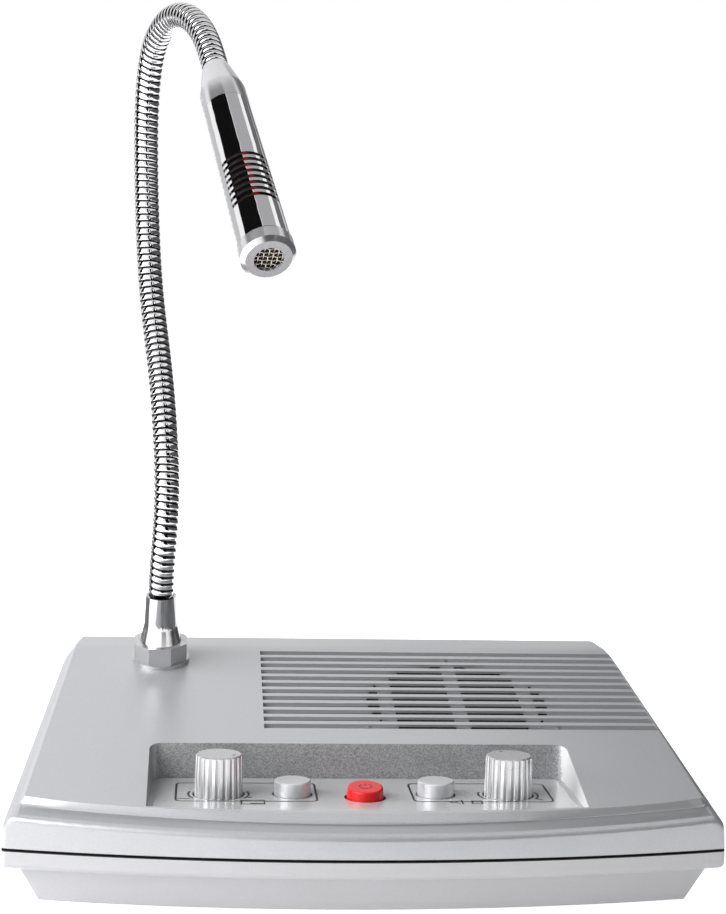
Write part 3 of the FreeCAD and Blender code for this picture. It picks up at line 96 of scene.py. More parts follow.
def add(tree, kind, settings=None, **inputs):
    """A node of a tree with its settings and inputs; an input may be another node's socket."""
    node = tree.nodes.new(kind)
    for name, value in (settings or {}).items():
        setattr(node, name, value)
    for name, value in inputs.items():
        socket = node.inputs[int(name[1:])] if name[0] == "_" else node.inputs[name.replace("_", " ")]
        if isinstance(value, bpy.types.NodeSocket):
            tree.links.new(value, socket)
        else:
            socket.default_value = value
    return node


def seen_as_white(tree):
    """One for rays from the camera and from gloss or glass, else nothing."""
    rays = add(tree, "ShaderNodeLightPath")
    shiny = add(tree, "ShaderNodeMath", {"operation": "MAXIMUM"},
                _0=rays.outputs["Is Glossy Ray"], _1=rays.outputs["Is Transmission Ray"])
    return add(tree, "ShaderNodeMath", {"operation": "MAXIMUM"},
               _0=rays.outputs["Is Camera Ray"], _1=shiny.outputs[0]).outputs[0]


SKY_LIGHT = 0.5
world = bpy.data.worlds.new("white_room")
scene.world = world
tree, out = new_tree(world)
strength = add(tree, "ShaderNodeMath", {"operation": "MULTIPLY_ADD"},
               _0=seen_as_white(tree), _1=1.0 - SKY_LIGHT, _2=SKY_LIGHT)
white = add(tree, "ShaderNodeBackground", Color=(1, 1, 1, 1), Strength=strength.outputs[0])
tree.links.new(white.outputs[0], out.inputs["Surface"])

FLOOR_REACH = 6.0
TABLE_GLOW = 0.95
floor_mesh = bpy.data.meshes.new("table")
floor_mesh.from_pydata([(-FLOOR_REACH, -FLOOR_REACH, 0), (FLOOR_REACH, -FLOOR_REACH, 0),
                        (FLOOR_REACH, FLOOR_REACH, 0), (-FLOOR_REACH, FLOOR_REACH, 0)],
                       [], [(0, 1, 2, 3)])
floor = bpy.data.objects.new("table", floor_mesh)
scene.collection.objects.link(floor)
floor_look = bpy.data.materials.new("table_white")
tree, out = new_tree(floor_look)
matt = add(tree, "ShaderNodeBsdfPrincipled", Base_Color=(0.86, 0.86, 0.86, 1), Roughness=0.9)
glow = add(tree, "ShaderNodeEmission", Color=(1, 1, 1, 1), Strength=TABLE_GLOW)
lit = add(tree, "ShaderNodeAddShader", _0=matt.outputs[0], _1=glow.outputs[0])
seen = add(tree, "ShaderNodeMixShader", _0=seen_as_white(tree), _1=matt.outputs[0], _2=lit.outputs[0])
tree.links.new(seen.outputs[0], out.inputs["Surface"])
floor_mesh.materials.append(floor_look)


def lamp(name, place, target, width, height, power):
    """A soft rectangular lamp that faces a point."""
    data = bpy.data.lights.new(name, "AREA")
    data.shape = "RECTANGLE"
    data.size = width
    data.size_y = height
    data.energy = power
    made = bpy.data.objects.new(name, data)
    made.location = place
    made.rotation_euler = (Vector(target) - Vector(place)).to_track_quat("-Z", "Y").to_euler()
    scene.collection.objects.link(made)
    return made


lamp("window_left", (-0.60, -0.42, 0.46), (-0.02, 0, 0.03), 0.6, 0.5, 5.5)
lamp("window_right", (1.2, -0.5, 0.7), (0, 0, 0.1), 0.7, 0.9, 0.6)
lamp("ceiling", (-0.85, 0.05, 0.95), (0, 0, 0), 0.9, 0.9, 3.0).visible_glossy = False
lamp("side_left", (-0.62, -0.02, 0.27), (0.05, -0.04, 0.036), 0.3, 0.2, 2.2).visible_glossy = False


CARD_BLUE = 1.02
CARD_LIFT = 1 * MM


def card(name, rows, shade, unseen=("camera", "diffuse", "transmission", "volume_scatter", "shadow")):
    """A faintly blue card through rows of two points, hidden from the given kinds of rays."""
    look = bpy.data.materials.new(name)
    tree, out = new_tree(look)
    tone = add(tree, "ShaderNodeEmission", Color=(shade, shade, shade * CARD_BLUE, 1), Strength=1.0)
    tree.links.new(tone.outputs[0], out.inputs["Surface"])
    mesh = bpy.data.meshes.new(name)
    mesh.from_pydata([Vector(place) for row in rows for place in row],
                     [], [(2 * i, 2 * i + 1, 2 * i + 3, 2 * i + 2) for i in range(len(rows) - 1)])
    mesh.materials.append(look)
    made = bpy.data.objects.new(name, mesh)
    for ray in unseen:
        setattr(made, "visible_" + ray, False)
    scene.collection.objects.link(made)


def standing_card(name, first, last, distance, height, shade):
    """A card on the table between two azimuths; 0 is the camera's side and 90 the right."""
    ends = [Vector((math.sin(math.radians(turn)), -math.cos(math.radians(turn)), 0)) * distance
            for turn in (first, last)]
    card(name, [(end, end + Vector((0, 0, height))) for end in ends], shade)


standing_card("card_front", -4, 31, 1.3, 3.0, 0.004)
standing_card("card_left", -112, -80, 1.4, 1.3, 0.01)
standing_card("card_right_grey", 40, 112, 1.6, 1.2, 0.42)
card("card_behind_right", [((0.30, 1.1, 0.3), (0.30, 1.1, 1.6)),
                           ((1.7, 1.1, 0.3), (1.7, 1.1, 1.6))], 0.16)
card("card_front_floor", [((-0.02, -0.30, CARD_LIFT), (-0.09, -1.3, CARD_LIFT)),
                          ((0.15, -0.28, CARD_LIFT), (0.67, -1.11, CARD_LIFT))], 0.01)
card("card_left_floor", [((-1.2, 0.06, CARD_LIFT), (-0.12, 0.06, CARD_LIFT)),
                         ((-1.2, 1.3, CARD_LIFT), (-0.12, 1.3, CARD_LIFT))], 0.30)
card("flag_right", [((0.42, -0.7, 0), (0.42, -0.7, 0.55)), ((0.42, 0.7, 0), (0.42, 0.7, 0.55))], 0.10,
     ("camera", "transmission", "volume_scatter"))

MICROPHONE_PLACE = Vector((-41.0, -4.0, 216.0)) * MM
MICROPHONE_AXIS = Vector((0.17911, -0.70785, -0.68327))
MICROPHONE_ACROSS = Vector((0.96945, 0.24531, 0.0))
CAMERA_SIDE = Vector((0, -0.992, -0.125))
CARD_ROWS = 7


def mirrored(turn):
    """The direction that the microphone's skin mirrors, turned so far from the camera's side."""
    skin = (MICROPHONE_ACROSS * math.sin(turn)
            + MICROPHONE_AXIS.cross(MICROPHONE_ACROSS).normalized() * math.cos(turn))
    return (skin * 2 * skin.dot(CAMERA_SIDE) - CAMERA_SIDE).normalized()


def card_over_rod(name, first, last, reach, breadth, shade):
    """A card bent round above the microphone, between two turns of its skin in degrees."""
    turns = np.radians(np.linspace(first, last, CARD_ROWS))
    rows = [[MICROPHONE_PLACE + mirrored(turn) * reach + MICROPHONE_AXIS * breadth * side
             for side in (-0.5, 0.5)] for turn in turns]
    card(name, rows, shade)


card_over_rod("card_dark", -59, -17, 1.4, 0.7, 0.006)
card_over_rod("card_grey", -16, 14, 1.5, 0.8, 0.42)
card_over_rod("card_edge", -96, -74, 1.4, 0.7, 0.60)
card_over_rod("card_far_edge", 40, 62, 1.4, 0.7, 0.62)

# ---------------------------------------------------------------- covers
# Two moulded shells of grey ABS: the sloping top with its grille and control tray, and the
# tub below it. Both are sprayed with a fine silver paint whose flakes show close up.
SPECKLE = bpy.data.node_groups.new("speckle", "ShaderNodeTree")
for name, usual in (("Scale", 1000.0), ("Contrast", 0.1)):
    SPECKLE.interface.new_socket(name, in_out="INPUT", socket_type="NodeSocketFloat").default_value = usual
SPECKLE.interface.new_socket("Color", in_out="INPUT", socket_type="NodeSocketColor")
SPECKLE.interface.new_socket("Color", in_out="OUTPUT", socket_type="NodeSocketColor")
SPECKLE.interface.new_socket("Height", in_out="OUTPUT", socket_type="NodeSocketFloat")
given = SPECKLE.nodes.new("NodeGroupInput")
place = add(SPECKLE, "ShaderNodeTexCoord")
cells = add(SPECKLE, "ShaderNodeTexVoronoi", Vector=place.outputs["Object"], Scale=given.outputs["Scale"])
tone = add(SPECKLE, "ShaderNodeSeparateColor", Color=cells.outputs["Color"])
swing = add(SPECKLE, "ShaderNodeMath", {"operation": "SUBTRACT"}, _0=tone.outputs[0], _1=0.5)
gain = add(SPECKLE, "ShaderNodeMath", {"operation": "MULTIPLY_ADD"},
           _0=swing.outputs[0], _1=given.outputs["Contrast"], _2=1.0)
tint = add(SPECKLE, "ShaderNodeVectorMath", {"operation": "SCALE"},
           _0=given.outputs["Color"], Scale=gain.outputs[0])
result = SPECKLE.nodes.new("NodeGroupOutput")
SPECKLE.links.new(tint.outputs[0], result.inputs["Color"])
SPECKLE.links.new(tone.outputs[0], result.inputs["Height"])
CLOUD_SCALE = 60.0
FLAKE_HEIGHT = 0.1 * MM
MERGE_REACH = 1e-6


def finish(name, color, roughness, metallic=0.0, speckle=(900.0, 0.04), bump=0.0, spread=0.06):
    """A procedural finish: a colour with flakes or grain of its own, and uneven gloss."""
    look = bpy.data.materials.new(name)
    tree, out = new_tree(look)
    shader = add(tree, "ShaderNodeBsdfPrincipled", Metallic=metallic)
    grain = add(tree, "ShaderNodeGroup", {"node_tree": SPECKLE})
    grain.inputs["Scale"].default_value, grain.inputs["Contrast"].default_value = speckle
    grain.inputs["Color"].default_value = (*color, 1)
    tree.links.new(grain.outputs["Color"], shader.inputs["Base Color"])
    where = add(tree, "ShaderNodeTexCoord")
    cloud = add(tree, "ShaderNodeTexNoise", Vector=where.outputs["Object"], Scale=CLOUD_SCALE, Detail=3.0)
    uneven = add(tree, "ShaderNodeMapRange", Value=cloud.outputs["Fac"], To_Min=roughness - spread / 2,
                 To_Max=roughness + spread / 2)
    tree.links.new(uneven.outputs["Result"], shader.inputs["Roughness"])
    if bump:
        relief = add(tree, "ShaderNodeBump", Height=grain.outputs["Height"], Distance=FLAKE_HEIGHT)
        relief.inputs["Strength"].default_value = bump
        tree.links.new(relief.outputs["Normal"], shader.inputs["Normal"])
    tree.links.new(shader.outputs[0], out.inputs["Surface"])
    return look


def smooth_copy(node, look, sharp=28.0):
    """A merged copy of a CAD node with smooth rounds and crisp edges, which stands for it."""
    mesh = frame["nodes"][node].data.copy()
    work = bmesh.new()
    work.from_mesh(mesh)
    bmesh.ops.remove_doubles(work, verts=work.verts, dist=MERGE_REACH)
    limit = math.radians(sharp)
    for face in work.faces:
        face.smooth = True
    for edge in work.edges:
        edge.smooth = len(edge.link_faces) == 2 and edge.calc_face_angle() < limit
    work.to_mesh(mesh)
    work.free()
    mesh.materials.clear()
    mesh.materials.append(look)
    piece = bpy.data.objects.new(node + "_finished", mesh)
    scene.collection.objects.link(piece)
    evened = piece.modifiers.new("even_normals", "WEIGHTED_NORMAL")
    evened.keep_sharp = True
    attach(piece, BODY_OF[node])
    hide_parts(node)
    return piece


def in_second_look(piece, look, chosen):
    """Gives another finish to the faces that a test of their middle and direction picks."""
    piece.data.materials.append(look)
    for face in piece.data.polygons:
        if chosen(face.center, face.normal):
            face.material_index = len(piece.data.materials) - 1


ANYWHERE = (-1000, 1000)


def within(place, across=ANYWHERE, along=ANYWHERE, up=ANYWHERE):
    """Whether a place lies inside the given spans, which are in millimetres."""
    return all(low * MM < part < high * MM for part, (low, high) in zip(place, (across, along, up)))


silver_paint = finish("silver_paint", (0.47, 0.475, 0.495), 0.34, 0.42, (4200.0, 0.07), 0.03)
tub_paint = finish("tub_paint", (0.51, 0.51, 0.53), 0.36, 0.2, (4200.0, 0.05), 0.02)
top_cover = smooth_copy("top_cover", silver_paint)
bottom_cover = smooth_copy("bottom_cover", tub_paint)
# Painted shade: the floors of the grille's grooves get a darker paint.
groove_painted_shade = finish("groove_painted_shade", (0.31, 0.315, 0.325), 0.42, 0.2, (4200.0, 0.07), 0.03)
TOP_SLOPE = math.radians(13)
ROOF_UP = Vector((0, -math.sin(TOP_SLOPE), math.cos(TOP_SLOPE)))
GRILLE_ALONG = (-11, 43)
GROOVE_ACROSS = (-81, 81)
GROOVE_LEVEL = 39.4 * MM
GROOVE_SLACK = 0.2 * MM
in_second_look(top_cover, groove_painted_shade, lambda place, facing:
               abs(place.dot(ROOF_UP) - GROOVE_LEVEL) < GROOVE_SLACK
               and within(place, across=GROOVE_ACROSS, along=GRILLE_ALONG))
# Painted shade: the walls of the slots through the grille get a near-black finish.
SLOT_ACROSS = (-17, 80)
SLOT_LOW = 35 * MM
SLOT_HIGH = GROOVE_LEVEL - 0.1 * MM
slot_shade = finish("slot_shade", (0.010, 0.010, 0.010), 0.9, 0.0, (2500.0, 0.3), 0.1)
in_second_look(top_cover, slot_shade, lambda place, facing:
               SLOT_LOW < place.dot(ROOF_UP) < SLOT_HIGH
               and within(place, across=SLOT_ACROSS, along=GRILLE_ALONG))
RIM_ALONG = (-1000, -52)
RIM_LEVEL = 38.7 * MM
RIM_SLACK = 0.12 * MM
RIM_FLATNESS = 0.9995
rim_paint = finish("rim_paint", (0.40, 0.405, 0.42), 0.30, 0.7, (4200.0, 0.07), 0.03)
in_second_look(top_cover, rim_paint, lambda place, facing:
               abs(place.dot(ROOF_UP) - RIM_LEVEL) < RIM_SLACK
               and within(place, along=RIM_ALONG) and facing.dot(ROOF_UP) > RIM_FLATNESS)
# The tray's back wall gets coarser flakes of its own and a darker tone that is painted shade.
TRAY_BACK_WALL = {"across": (-56.9, 56.9), "along": (-24, -19.5), "up": (27.2, 38)}
sparkle_and_shade_paint = finish("sparkle_and_shade_paint", (0.32, 0.323, 0.335), 0.36, 0.3, (3200.0, 0.60), 0.1)
in_second_look(top_cover, sparkle_and_shade_paint, lambda place, facing: within(place, **TRAY_BACK_WALL))
# Painted light: the tray's right wall, which faces left, gets a lighter paint.
TRAY_RIGHT_WALL = {"across": (57.5, 72), "along": (-1000, -20), "up": (27, 38)}
WALL_TURN = -0.35
wall_painted_light = finish("wall_painted_light", (0.72, 0.725, 0.735), 0.30, 0.1, (4200.0, 0.05), 0.02)
in_second_look(top_cover, wall_painted_light, lambda place, facing:
               within(place, **TRAY_RIGHT_WALL) and facing.x < WALL_TURN)
JOINT_LOW = 16.75 * MM
JOINT_HIGH = 17.60 * MM
JOINT_DARKNESS = 0.985


def node_of(look, kind):
    """The first node of a kind in a finish."""
    return next(node for node in look.node_tree.nodes if node.type == kind)


def shade(look, factor):
    """Multiplies the colour of a finish by a value from its own node tree."""
    shaded = add(look.node_tree, "ShaderNodeVectorMath", {"operation": "SCALE"},
                 _0=node_of(look, "GROUP").outputs["Color"], Scale=factor)
    look.node_tree.links.new(shaded.outputs[0], node_of(look, "BSDF_PRINCIPLED").inputs["Base Color"])


def shade_joint(look):
    """Paints shade into a paint in and beside the narrow gap between the two covers."""
    tree = look.node_tree
    where = add(tree, "ShaderNodeTexCoord")
    height = add(tree, "ShaderNodeSeparateXYZ", Vector=where.outputs["Object"])
    away = add(tree, "ShaderNodeMath", {"operation": "COMPARE"}, _0=height.outputs["Z"],
               _1=(JOINT_LOW + JOINT_HIGH) / 2, _2=(JOINT_HIGH - JOINT_LOW) / 2)
    kept = add(tree, "ShaderNodeMath", {"operation": "MULTIPLY_ADD"},
               _0=away.outputs[0], _1=-JOINT_DARKNESS, _2=1.0)
    shade(look, kept.outputs[0])


shade_joint(silver_paint)
shade_joint(tub_paint)
# Painted shade: the tub's faces in the gap under the top cover are near black.
joint_shade = finish("joint_shade", (0.012, 0.012, 0.012), 0.9, 0.0, (2500.0, 0.3), 0.1)
in_second_look(bottom_cover, joint_shade, lambda place, facing: JOINT_LOW < place.z < JOINT_HIGH + MM)

# ---------------------------------------------------------------- feet and cover screws
# Four round rubber pads sit in seats under the tub, and four plated screws hold the shells.
foot_rubber = finish("foot_rubber", (0.035, 0.035, 0.037), 0.8, 0.0, (2500.0, 0.3), 0.2)
zinc = finish("zinc_plate", (0.62, 0.62, 0.60), 0.35, 1.0, (1500.0, 0.1))
smooth_copy("rubber_feet", foot_rubber)
for node in ("cover_screws", "control_board_screws", "main_board_screws", "speaker_screws",
             "speaker_clamps", "speaker_yoke", "neck_locknut"):
    smooth_copy(node, zinc)

# ---------------------------------------------------------------- control sheet
# A satin silver sheet glued on the tray's floor, with the holes for the controls. Its marks
# are printed in dark grey: a frame round each volume knob and talk key, arcs and small signs.
sheet_look = finish("control_sheet", (0.64, 0.645, 0.66), 0.22, 0.4, (5000.0, 0.05))
control_sheet = smooth_copy("control_overlay", sheet_look)
TRAY_SIDE = 57.0 * MM
TRAY_BACK = -23.0 * MM
RIM_REACH = 0.4 * MM
sheet_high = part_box("control_overlay")[1]
for vertex in control_sheet.data.vertices:
    if abs(vertex.co.x) > sheet_high[0] - RIM_REACH:
        vertex.co.x = math.copysign(TRAY_SIDE, vertex.co.x)
    if vertex.co.y > sheet_high[1] - RIM_REACH:
        vertex.co.y = TRAY_BACK
print_ink = finish("print_ink", (0.015, 0.015, 0.018), 0.6)
SHEET_TOP = sheet_high[2]
PRINT_LIFT = 0.03 * MM
PRINT_LINE = 0.58 * MM


def middle_of(node):
    """The middle of a CAD node's box, seen from above."""
    low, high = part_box(node)
    return (low[0] + high[0]) / 2, (low[1] + high[1]) / 2


def ribbon(work, points, width, closed=False):
    """A flat line of even width on the sheet, through the given places."""
    count = len(points)
    rails = []
    for i, place in enumerate(points):
        before = points[i - 1] if i or closed else place
        after = points[(i + 1) % count] if i < count - 1 or closed else place
        run = (after - before).normalized()
        across = Vector((-run.y, run.x)) * width / 2
        rails.append([work.verts.new((*(place + across * sign), SHEET_TOP + PRINT_LIFT))
                      for sign in (-1, 1)])
    for i in range(count if closed else count - 1):
        start, end = rails[i], rails[(i + 1) % count]
        work.faces.new((start[0], end[0], end[1], start[1]))


def rounded(corners, radius, steps=5):
    """The corners of a closed outline, each rounded by an arc."""
    found = []
    for i, corner in enumerate(corners):
        back = (corners[i - 1] - corner).normalized()
        ahead = (corners[(i + 1) % len(corners)] - corner).normalized()
        for k in range(steps + 1):
            t = k / steps
            start, end = corner + back * radius, corner + ahead * radius
            found.append(start * (1 - t) ** 2 + corner * 2 * t * (1 - t) + end * t ** 2)
    return found


def arc(centre, radius, first, last, steps=10):
    """Places on a circle between two angles in degrees."""
    return [Vector(centre) + Vector((math.cos(math.radians(a)), math.sin(math.radians(a)))) * radius
            for a in np.linspace(first, last, steps)]


def printed(name, work, look, place=Matrix()):
    """A new object from flat lines, moved to its place, in a finish of its own."""
    mesh = bpy.data.meshes.new(name)
    work.to_mesh(mesh)
    work.free()
    mesh.transform(place)
    mesh.materials.append(look)
    made = bpy.data.objects.new(name, mesh)
    scene.collection.objects.link(made)
    return made


marks = bmesh.new()
FRAME_FRONT = -7.6 * MM
FRAME_BACK = 12.0 * MM
FRAME_LEFT = -11.5 * MM
FRAME_RIGHT = 26.5 * MM
FRAME_CORNER = 2.0 * MM
ARC_RADIUS = 8.2 * MM
ARC_SPANS = ((-35, 20), (160, 215))
for side in ("left", "right"):
    x, y = middle_of("volume_knob_" + side)
    left, right = ((x + FRAME_LEFT, x + FRAME_RIGHT) if side == "left" else
                   (x - FRAME_RIGHT, x - FRAME_LEFT))
    front, back = y + FRAME_FRONT, y + FRAME_BACK
    corners = [Vector(corner) for corner in ((left, front), (right, front), (right, back), (left, back))]
    ribbon(marks, rounded(corners, FRAME_CORNER), PRINT_LINE, closed=True)
    for first, last in ARC_SPANS:
        ribbon(marks, arc((x, y), ARC_RADIUS, first, last), PRINT_LINE)
SIGNS = ([(-33.6, -47.2), (-27.4, -47.2), (-27.4, -51.2), (-33.6, -51.2), (-33.6, -47.2)],
         [(-31.2, -50.4), (-27.6, -50.4)],
         [(-50.6, -45.6), (-47.4, -45.6)],
         [(-31.6, -44.6), (-30.8, -43.6)],
         [(22.9, -48.0), (24.2, -48.0), (25.9, -46.6), (25.9, -50.6), (24.2, -49.2), (22.9, -49.2),
          (22.9, -48.0)],
         [(28.6, -47.4), (31.2, -47.4), (31.2, -50.0), (28.6, -50.0), (28.6, -47.4)],
         [(47.0, -45.0), (48.4, -46.2)])
for line in SIGNS:
    ribbon(marks, [Vector(place) * MM for place in line], PRINT_LINE)
sheet_print = printed("sheet_print", marks, print_ink)
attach(sheet_print, "housing")

# ---------------------------------------------------------------- volume knobs
# Fluted caps of silver-painted plastic push onto D-shaped shafts of the volume controls.
FLUTE_DEPTH = 0.75 * MM
CREST_SHARE = 0.45
VALLEY_SHADE = 0.18
CAP_EDGE = 0.9 * MM
CAP_SHADE = 0.66


def fluted_finish(side):
    """Silver paint with painted shade in the valleys between a knob's flutes, weaker near its top."""
    look = finish("knob_silver_" + side, (0.68, 0.68, 0.695), 0.27, 0.6, (5000.0, 0.05))
    tree = look.node_tree
    low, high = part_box("volume_knob_" + side)
    middle = (*middle_of("volume_knob_" + side), 0)
    crest = (high[0] - low[0]) / 2
    where = add(tree, "ShaderNodeTexCoord")
    apart = add(tree, "ShaderNodeVectorMath", {"operation": "SUBTRACT"},
                _0=where.outputs["Object"], _1=middle)
    flat = add(tree, "ShaderNodeVectorMath", {"operation": "MULTIPLY"}, _0=apart.outputs[0], _1=(1, 1, 0))
    reach = add(tree, "ShaderNodeVectorMath", {"operation": "LENGTH"}, _0=flat.outputs[0])
    valley = add(tree, "ShaderNodeMapRange", Value=reach.outputs["Value"], From_Min=crest - FLUTE_DEPTH,
                 From_Max=crest - FLUTE_DEPTH * CREST_SHARE, To_Min=VALLEY_SHADE, To_Max=1.0)
    height = add(tree, "ShaderNodeSeparateXYZ", Vector=where.outputs["Object"])
    top = add(tree, "ShaderNodeMath", {"operation": "GREATER_THAN"},
              _0=height.outputs["Z"], _1=high[2] - CAP_EDGE)
    cap = add(tree, "ShaderNodeMath", {"operation": "MULTIPLY"}, _0=top.outputs[0], _1=CAP_SHADE)
    bright = add(tree, "ShaderNodeMath", {"operation": "MAXIMUM"},
                 _0=valley.outputs["Result"], _1=cap.outputs[0])
    shade(look, bright.outputs[0])
    return look


turned_metal = finish("turned_aluminium", (0.70, 0.70, 0.71), 0.3, 1.0, (1200.0, 0.1))
for side in ("left", "right"):
    smooth_copy("volume_knob_" + side, fluted_finish(side), sharp=22.0)
    smooth_copy("volume_shaft_" + side, turned_metal)
    smooth_copy("volume_pot_" + side, zinc)

# ---------------------------------------------------------------- keys
# Two round silver keys talk while pressed; the red one between them is the power key.
key_silver = finish("key_silver", (0.64, 0.64, 0.66), 0.34, 0.5, (5000.0, 0.05))
black_moulding = finish("black_moulding", (0.02, 0.02, 0.022), 0.45, 0.0, (2200.0, 0.2), 0.05)
power_red = finish("power_red", (0.66, 0.006, 0.010), 0.34, 0.0, (3000.0, 0.04))
for side in ("left", "right"):
    smooth_copy("talk_button_" + side, key_silver)
    smooth_copy("talk_plunger_" + side, black_moulding)
    smooth_copy("talk_switch_" + side, black_moulding)
smooth_copy("power_button", power_red)

SIGN_RADIUS = 1.65 * MM
SIGN_LINE = 0.42 * MM
SIGN_GAP = 38
SIGN_STROKE = (0.15, 1.15)
SIGN_STEPS = 28
KEY_TILT = math.radians(7.7)
KEY_FRONT = 2.4 * MM
KEY_RADIUS = 5.2 * MM
key_middle = Vector((*middle_of("power_button"), 0))
sign_work = bmesh.new()
ribbon(sign_work, arc((0, 0), SIGN_RADIUS, 90 + SIGN_GAP, 450 - SIGN_GAP, SIGN_STEPS), SIGN_LINE)
ribbon(sign_work, [Vector((0, SIGN_RADIUS * share)) for share in SIGN_STROKE], SIGN_LINE)
face_level = SHEET_TOP + KEY_FRONT + KEY_RADIUS * math.tan(KEY_TILT)
power_sign = printed("power_sign", sign_work, finish("sign_red", (0.16, 0.004, 0.006), 0.4),
                     Matrix.Translation(key_middle + Vector((0, 0, face_level)))
                     @ Matrix.Rotation(KEY_TILT, 4, "X")
                     @ Matrix.Translation((0, 0, -SHEET_TOP)))
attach(power_sign, "power_key")
smooth_copy("power_plunger", black_moulding)
smooth_copy("power_switch", black_moulding)

# ---------------------------------------------------------------- loudspeaker
# Behind the slots lies a black cloth, then the loudspeaker with its paper cone.
cloth_black = finish("cloth_black", (0.012, 0.012, 0.013), 0.95, 0.0, (2600.0, 0.8), 0.3)
cone_paper = finish("cone_paper", (0.03, 0.03, 0.03), 0.9, 0.0, (1500.0, 0.4), 0.2)
foam = finish("gasket_foam", (0.03, 0.03, 0.03), 0.95, 0.0, (3000.0, 0.6), 0.4)
basket_black = finish("basket_black", (0.03, 0.03, 0.032), 0.4, 0.3)
copper = finish("coil_copper", (0.72, 0.35, 0.15), 0.35, 1.0, (3000.0, 0.3))
ferrite = finish("ferrite", (0.06, 0.06, 0.065), 0.6, 0.2, (1800.0, 0.4), 0.1)
for node, look, slot in (("grille_cloth", cloth_black, "cloth"), ("speaker_gasket", foam, "gasket_foam"),
                         ("speaker_frame", basket_black, "speaker_steel"),
                         ("speaker_cone", cone_paper, "cone_paper"), ("dust_cap", cone_paper, "cone_paper"),
                         ("voice_coil", copper, "coil_copper"),
                         ("speaker_magnet", ferrite, "magnet_ferrite")):
    smooth_copy(node, look)

# ---------------------------------------------------------------- boards
# The control board hangs under the tray and the main board stands on the tub's floor.
solder_mask = finish("solder_mask", (0.02, 0.16, 0.06), 0.3, 0.0, (700.0, 0.4))
epoxy = finish("chip_epoxy", (0.02, 0.02, 0.02), 0.5, 0.0, (1800.0, 0.3))
anodised = finish("anodised", (0.2, 0.2, 0.21), 0.35, 0.9)
can_sleeve = finish("can_sleeve", (0.02, 0.03, 0.10), 0.3)
nylon = finish("plug_nylon", (0.75, 0.73, 0.66), 0.45)
wire_skin = finish("wire_skin", (0.45, 0.02, 0.02), 0.4)
ribbon_skin = finish("ribbon_skin", (0.42, 0.42, 0.43), 0.5)
for node, look, slot in (("control_board", solder_mask, "board_green"),
                         ("main_board", solder_mask, "board_green"),
                         ("amplifier_chip", epoxy, "chip_black"), ("heatsink", anodised, "sink_metal"),
                         ("capacitors", can_sleeve, "can_metal"), ("board_connectors", nylon, "plug_white"),
                         ("ribbon_cable", ribbon_skin, "ribbon_grey"),
                         ("internal_leads", wire_skin, "wire_pvc")):
    smooth_copy(node, look)

# ---------------------------------------------------------------- rear sockets
# Three panel sockets with plated ring nuts: outside speaker, recorder and supply.
chrome = finish("chrome", (0.86, 0.86, 0.87), 0.05, 1.0, (400.0, 0.02), spread=0.03)
for node in ("outside_speaker_jack", "recorder_jack", "dc_jack"):
    smooth_copy(node, black_moulding)
smooth_copy("socket_nuts", chrome)

# ---------------------------------------------------------------- gooseneck fixing
# A chromed flange and nut clamp the socket that the gooseneck is pressed into.
nut_chrome = finish("nut_chrome", (0.56, 0.56, 0.575), 0.26, 0.72, (1500.0, 0.08), spread=0.05)
socket_chrome = finish("socket_chrome", (0.52, 0.52, 0.535), 0.12, 1.0, (400.0, 0.02), spread=0.03)
for node, look in (("neck_flange", nut_chrome), ("neck_nut", nut_chrome), ("neck_socket", socket_chrome)):
    smooth_copy(node, look)

# ---------------------------------------------------------------- gooseneck
# A tube wound from round and wedge-shaped wire, chromed, which stays as it is bent. Each
# length spans one joint, from the middle of one section to the middle of the next.
NECK_PATH = [(0, 0, 0), (0.7, -3.3, 14.2), (1.3, -2.8, 31.5), (0.3, 2.7, 49.4),
             (-1.7, 12.2, 67.4), (-4.8, 22.6, 88.9), (-6.8, 29.6, 112.6), (-7.7, 32.5, 136.3),
             (-7.3, 29.3, 155.4), (-5.1, 22.0, 167.9), (2.8, 3.7, 174.3), (9.9, -11.5, 167.0),
             (13.8, -23.8, 155.1)]
NECK_RADIUS = 3.9 * MM
RIB_PITCH = 2.2 * MM
RIB_DEPTH = 0.42 * MM
GROOVE_POWER = 3.2
RING_POINTS = 32
POINTS_PER_RIB = 8.0
neck_places = [Vector(JOINTS["neck_bend_1"]["pos_m"]) + Vector(place) * MM for place in NECK_PATH]


def smooth_path(places, start_run, end_run, per_span=60):
    """Points on the curve of even bend through the places, with given end directions."""
    knots = np.cumsum([0.0] + [(b - a).length for a, b in zip(places, places[1:])])
    count = len(places)
    rows = np.zeros((count, count))
    wanted = np.zeros((count, 3))
    rows[0, 0] = rows[-1, -1] = 1.0
    wanted[0] = start_run.normalized()
    wanted[-1] = end_run.normalized()
    spans = np.diff(knots)
    points = np.array([tuple(place) for place in places])
    for i in range(1, count - 1):
        before, after = spans[i - 1], spans[i]
        rows[i, i - 1:i + 2] = after, 2 * (before + after), before
        wanted[i] = 3 * (after / before * (points[i] - points[i - 1])
                         + before / after * (points[i + 1] - points[i]))
    runs = np.linalg.solve(rows, wanted)
    found = []
    for i in range(count - 1):
        for t in np.linspace(0, 1, per_span, endpoint=i == count - 2):
            span = spans[i]
            found.append((2 * t ** 3 - 3 * t ** 2 + 1) * points[i]
                         + (t ** 3 - 2 * t ** 2 + t) * span * runs[i]
                         + (-2 * t ** 3 + 3 * t ** 2) * points[i + 1]
                         + (t ** 3 - t ** 2) * span * runs[i + 1])
    return np.array(found)


neck_line = smooth_path(neck_places, ROOF_UP, MICROPHONE_AXIS)
neck_reach = np.concatenate([[0], np.cumsum(np.linalg.norm(np.diff(neck_line, axis=0), axis=1))])


